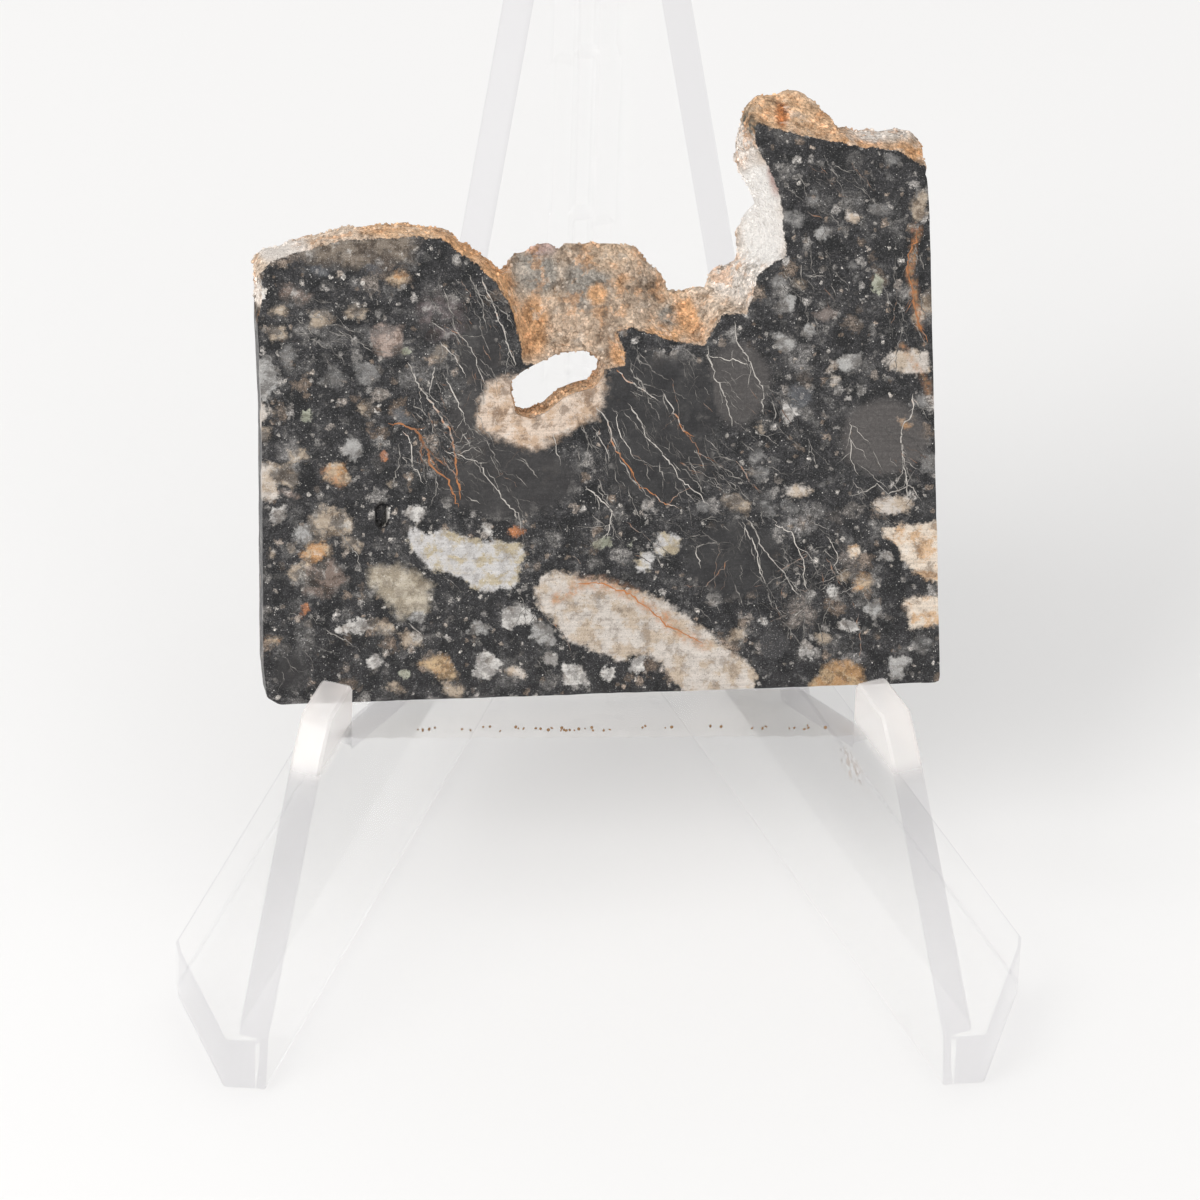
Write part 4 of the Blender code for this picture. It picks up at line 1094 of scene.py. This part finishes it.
def plastic_finish(name, colour, cover, roughness):
    """Clear moulded plastic with faint flow marks and scuffs, milky in its hooks."""
    paint = Paint(name)
    where = paint.node("TexCoord").outputs["Object"]
    spot = paint.node("SeparateXYZ")
    paint.feed(spot.inputs[0], where)
    hook = paint.number("MULTIPLY", paint.band(spot.outputs[2], HOOK_HEIGHT, HOOK_HEIGHT + 0.0020),
                        paint.band(spot.outputs[1], HOOK_REACH, HOOK_REACH - 0.0008))
    from_soil = paint.stretched(paint.lengths("SUBTRACT", where, SOIL_SPOT), scale=(1.0, 0.5, 1.4))
    near = paint.node("VectorMath", operation="LENGTH")
    paint.feed(near.inputs[0], from_soil)
    soil = paint.number("MULTIPLY", paint.band(near.outputs["Value"], SOIL_REACH, 0.2 * SOIL_REACH),
                        paint.band(paint.noise(where, 1900.0, 4.0, 0.7), 0.46, 0.58))
    body = paint.blend(hook, colour, "f8f2ee")
    paint.feed(paint.shader.inputs["Base Color"], paint.blend(soil, body, "a98f7c"))
    milky = paint.number("MAXIMUM", hook, soil)
    paint.feed(paint.shader.inputs["Transmission Weight"], paint.band(milky, 0.0, 1.0, 1.0, 0.2))
    paint.shader.inputs["IOR"].default_value = 1.49
    paint.feed(paint.shader.inputs["Alpha"], paint.band(milky, 0.0, 1.0, cover, HOOK_COVER))
    scuffs = paint.noise(where, 900.0, 3.0, 0.6)
    paint.feed(paint.shader.inputs["Roughness"], paint.band(scuffs, 0.45, 0.75, roughness, roughness + 0.1))
    flow = paint.noise(paint.stretched(where, scale=(1.0, 1.0, 0.25)), 180.0, 2.0, 0.5)
    paint.feed(paint.shader.inputs["Normal"], paint.bump(flow, 0.00002))
    return paint.material


def film_finish():
    """A milky clear film, smudged here and there."""
    paint = Paint("clear_film")
    where = paint.node("TexCoord").outputs["Object"]
    smudges = paint.band(paint.noise(where, 260.0, 4.0, 0.6), 0.45, 0.75)
    soil = paint.band(paint.noise(where, 1500.0, 3.0, 0.6), 0.66, 0.76, 0.0, 0.5)
    colour = paint.blend(smudges, "f8efe6", "ecdfd2")
    paint.feed(paint.shader.inputs["Base Color"], paint.blend(soil, colour, "c2b09e"))
    paint.shader.inputs["Transmission Weight"].default_value = 0.3
    paint.shader.inputs["IOR"].default_value = 1.46
    paint.shader.inputs["Alpha"].default_value = 0.09
    paint.feed(paint.shader.inputs["Roughness"], paint.band(smudges, 0.0, 1.0, 0.25, 0.4))
    return paint.material


def grit_finish():
    paint = Paint("brown_grit")
    where = paint.node("TexCoord").outputs["Object"]
    paint.feed(paint.shader.inputs["Base Color"], paint.blend(paint.noise(where, 2500.0, 2.0), "5c4128", "b08a62"))
    paint.shader.inputs["Roughness"].default_value = 0.8
    return paint.material


def merged_copy(name, node):
    """A welded copy of a node's mesh, which takes that node's place."""
    form = bmesh.new()
    form.from_mesh(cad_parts[node].data)
    bmesh.ops.remove_doubles(form, verts=form.verts, dist=0.000002)
    bmesh.ops.dissolve_limit(form, angle_limit=0.01, verts=form.verts, edges=form.edges)
    mesh = bpy.data.meshes.new(name)
    form.to_mesh(mesh)
    form.free()
    mesh.transform(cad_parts[node].matrix_world)
    mesh.materials.clear()
    return mesh


def make_wings():
    """Each wing of the easel: its plate is clear, and the narrow edges that run round it are faintly frosted."""
    clear = plastic_finish("clear_plate", "fffdfb", 0.05, 0.02)
    frosted = plastic_finish("frosted_edge", "6a6376", 0.18, 0.12)
    for side, node, name in ((-1, "easel_left_wing", "left_wing"), (1, "easel_right_wing", "right_wing")):
        mesh = merged_copy(name, node)
        mesh.materials.append(clear)
        mesh.materials.append(frosted)
        across = Vector((math.cos(HALF_OPENING), side * math.sin(HALF_OPENING), 0.0))
        for face in mesh.polygons:
            flat_side = abs(face.normal.dot(across)) > 0.8 or abs(face.normal.z) > 0.98
            face.material_index = 0 if flat_side or face.center.y > HINGE_REACH else 1
        mesh.shade_smooth()
        mesh.set_sharp_from_angle(angle=math.radians(30.0))
        wing = bpy.data.objects.new(name, mesh)
        bpy.context.scene.collection.objects.link(wing)
        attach(wing, "root")
        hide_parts(node)


def make_grit():
    """Brown grit along the film's front edge."""
    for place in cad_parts["seat_film"].material_slots:
        place.material = film_finish()
    low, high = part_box("seat_film")
    form = bmesh.new()
    front, top = low[1] + 0.00022, high[2] + 0.00002
    ends = (low[0] + 0.003, high[0] - 0.002)
    strip = [form.verts.new((x, y, top)) for x, y in ((ends[0], front), (ends[1], front),
                                                    (ends[1], front + GRIT_WIDTH), (ends[0], front + GRIT_WIDTH))]
    form.faces.new(strip)
    mesh = bpy.data.meshes.new("film_grit")
    form.to_mesh(mesh)
    form.free()
    strew("film_grit", mesh, grit_finish(), GRIT_DENSITY, GRAIN_LEAST, GRIT_MOST)


# The view: a long lens, looking down on the easel
CAMERA_SPOT = (-0.02504, -0.40317, 0.31634)
CAMERA_TILT = math.radians(36.76)
CAMERA_TURN = math.radians(-3.6)
CAMERA_ROLL = math.radians(1.95)
LENS = 285.0
SENSOR = 36.0


def make_camera():
    lens = bpy.data.cameras.new("studio_view")
    lens.lens = LENS
    lens.sensor_width = SENSOR
    lens.clip_start = 0.01
    camera = bpy.data.objects.new("studio_view", lens)
    bpy.context.scene.collection.objects.link(camera)
    turn = Matrix.Rotation(CAMERA_TURN, 4, "Z")
    tilt = Matrix.Rotation(math.radians(90.0) - CAMERA_TILT, 4, "X")
    roll = Matrix.Rotation(CAMERA_ROLL, 4, "Z")
    camera.matrix_world = Matrix.Translation(CAMERA_SPOT) @ turn @ tilt @ roll
    bpy.context.scene.camera = camera


def make_light(name, spot, aim, size, power):
    lamp = bpy.data.lights.new(name, "AREA")
    lamp.shape = "DISK"
    lamp.size = size
    lamp.energy = power
    light = bpy.data.objects.new(name, lamp)
    bpy.context.scene.collection.objects.link(light)
    light.location = spot
    light.rotation_euler = (Vector(aim) - Vector(spot)).to_track_quat("-Z", "Y").to_euler()


def make_studio():
    form = bmesh.new()
    bmesh.ops.create_grid(form, x_segments=1, y_segments=1, size=1.5)
    mesh = bpy.data.meshes.new("pale_floor")
    form.to_mesh(mesh)
    form.free()
    floor = bpy.data.objects.new("pale_floor", mesh)
    bpy.context.scene.collection.objects.link(floor)
    floor.location.z = -0.0002
    paint = Paint("pale_floor")
    where = paint.node("TexCoord").outputs["Object"]
    paint.feed(paint.shader.inputs["Base Color"], paint.blend(paint.noise(where, 6.0, 2.0), "f2f1f0", "f5f4f3"))
    paint.shader.inputs["Roughness"].default_value = 0.6
    mesh.materials.append(paint.material)

    world = bpy.data.worlds.new("studio")
    world.use_nodes = True
    background = world.node_tree.nodes["Background"]
    background.inputs["Color"].default_value = (1.0, 1.0, 1.0, 1.0)
    background.inputs["Strength"].default_value = 0.84
    bpy.context.scene.world = world
    bpy.context.scene.view_settings.view_transform = "Standard"
    make_light("key", (-0.34, -0.28, 0.36), (0.0, 0.0, 0.02), 0.30, 1.25)
    make_light("fill", (0.20, -0.45, 0.35), (0.0, 0.0, 0.02), 0.30, 0.15)


stone_look = stone_finish()
stone = make_stone(stone_look)
make_veins(vein_finish())
make_grains(stone, stone_look)
make_wings()
make_grit()
make_studio()
make_camera()
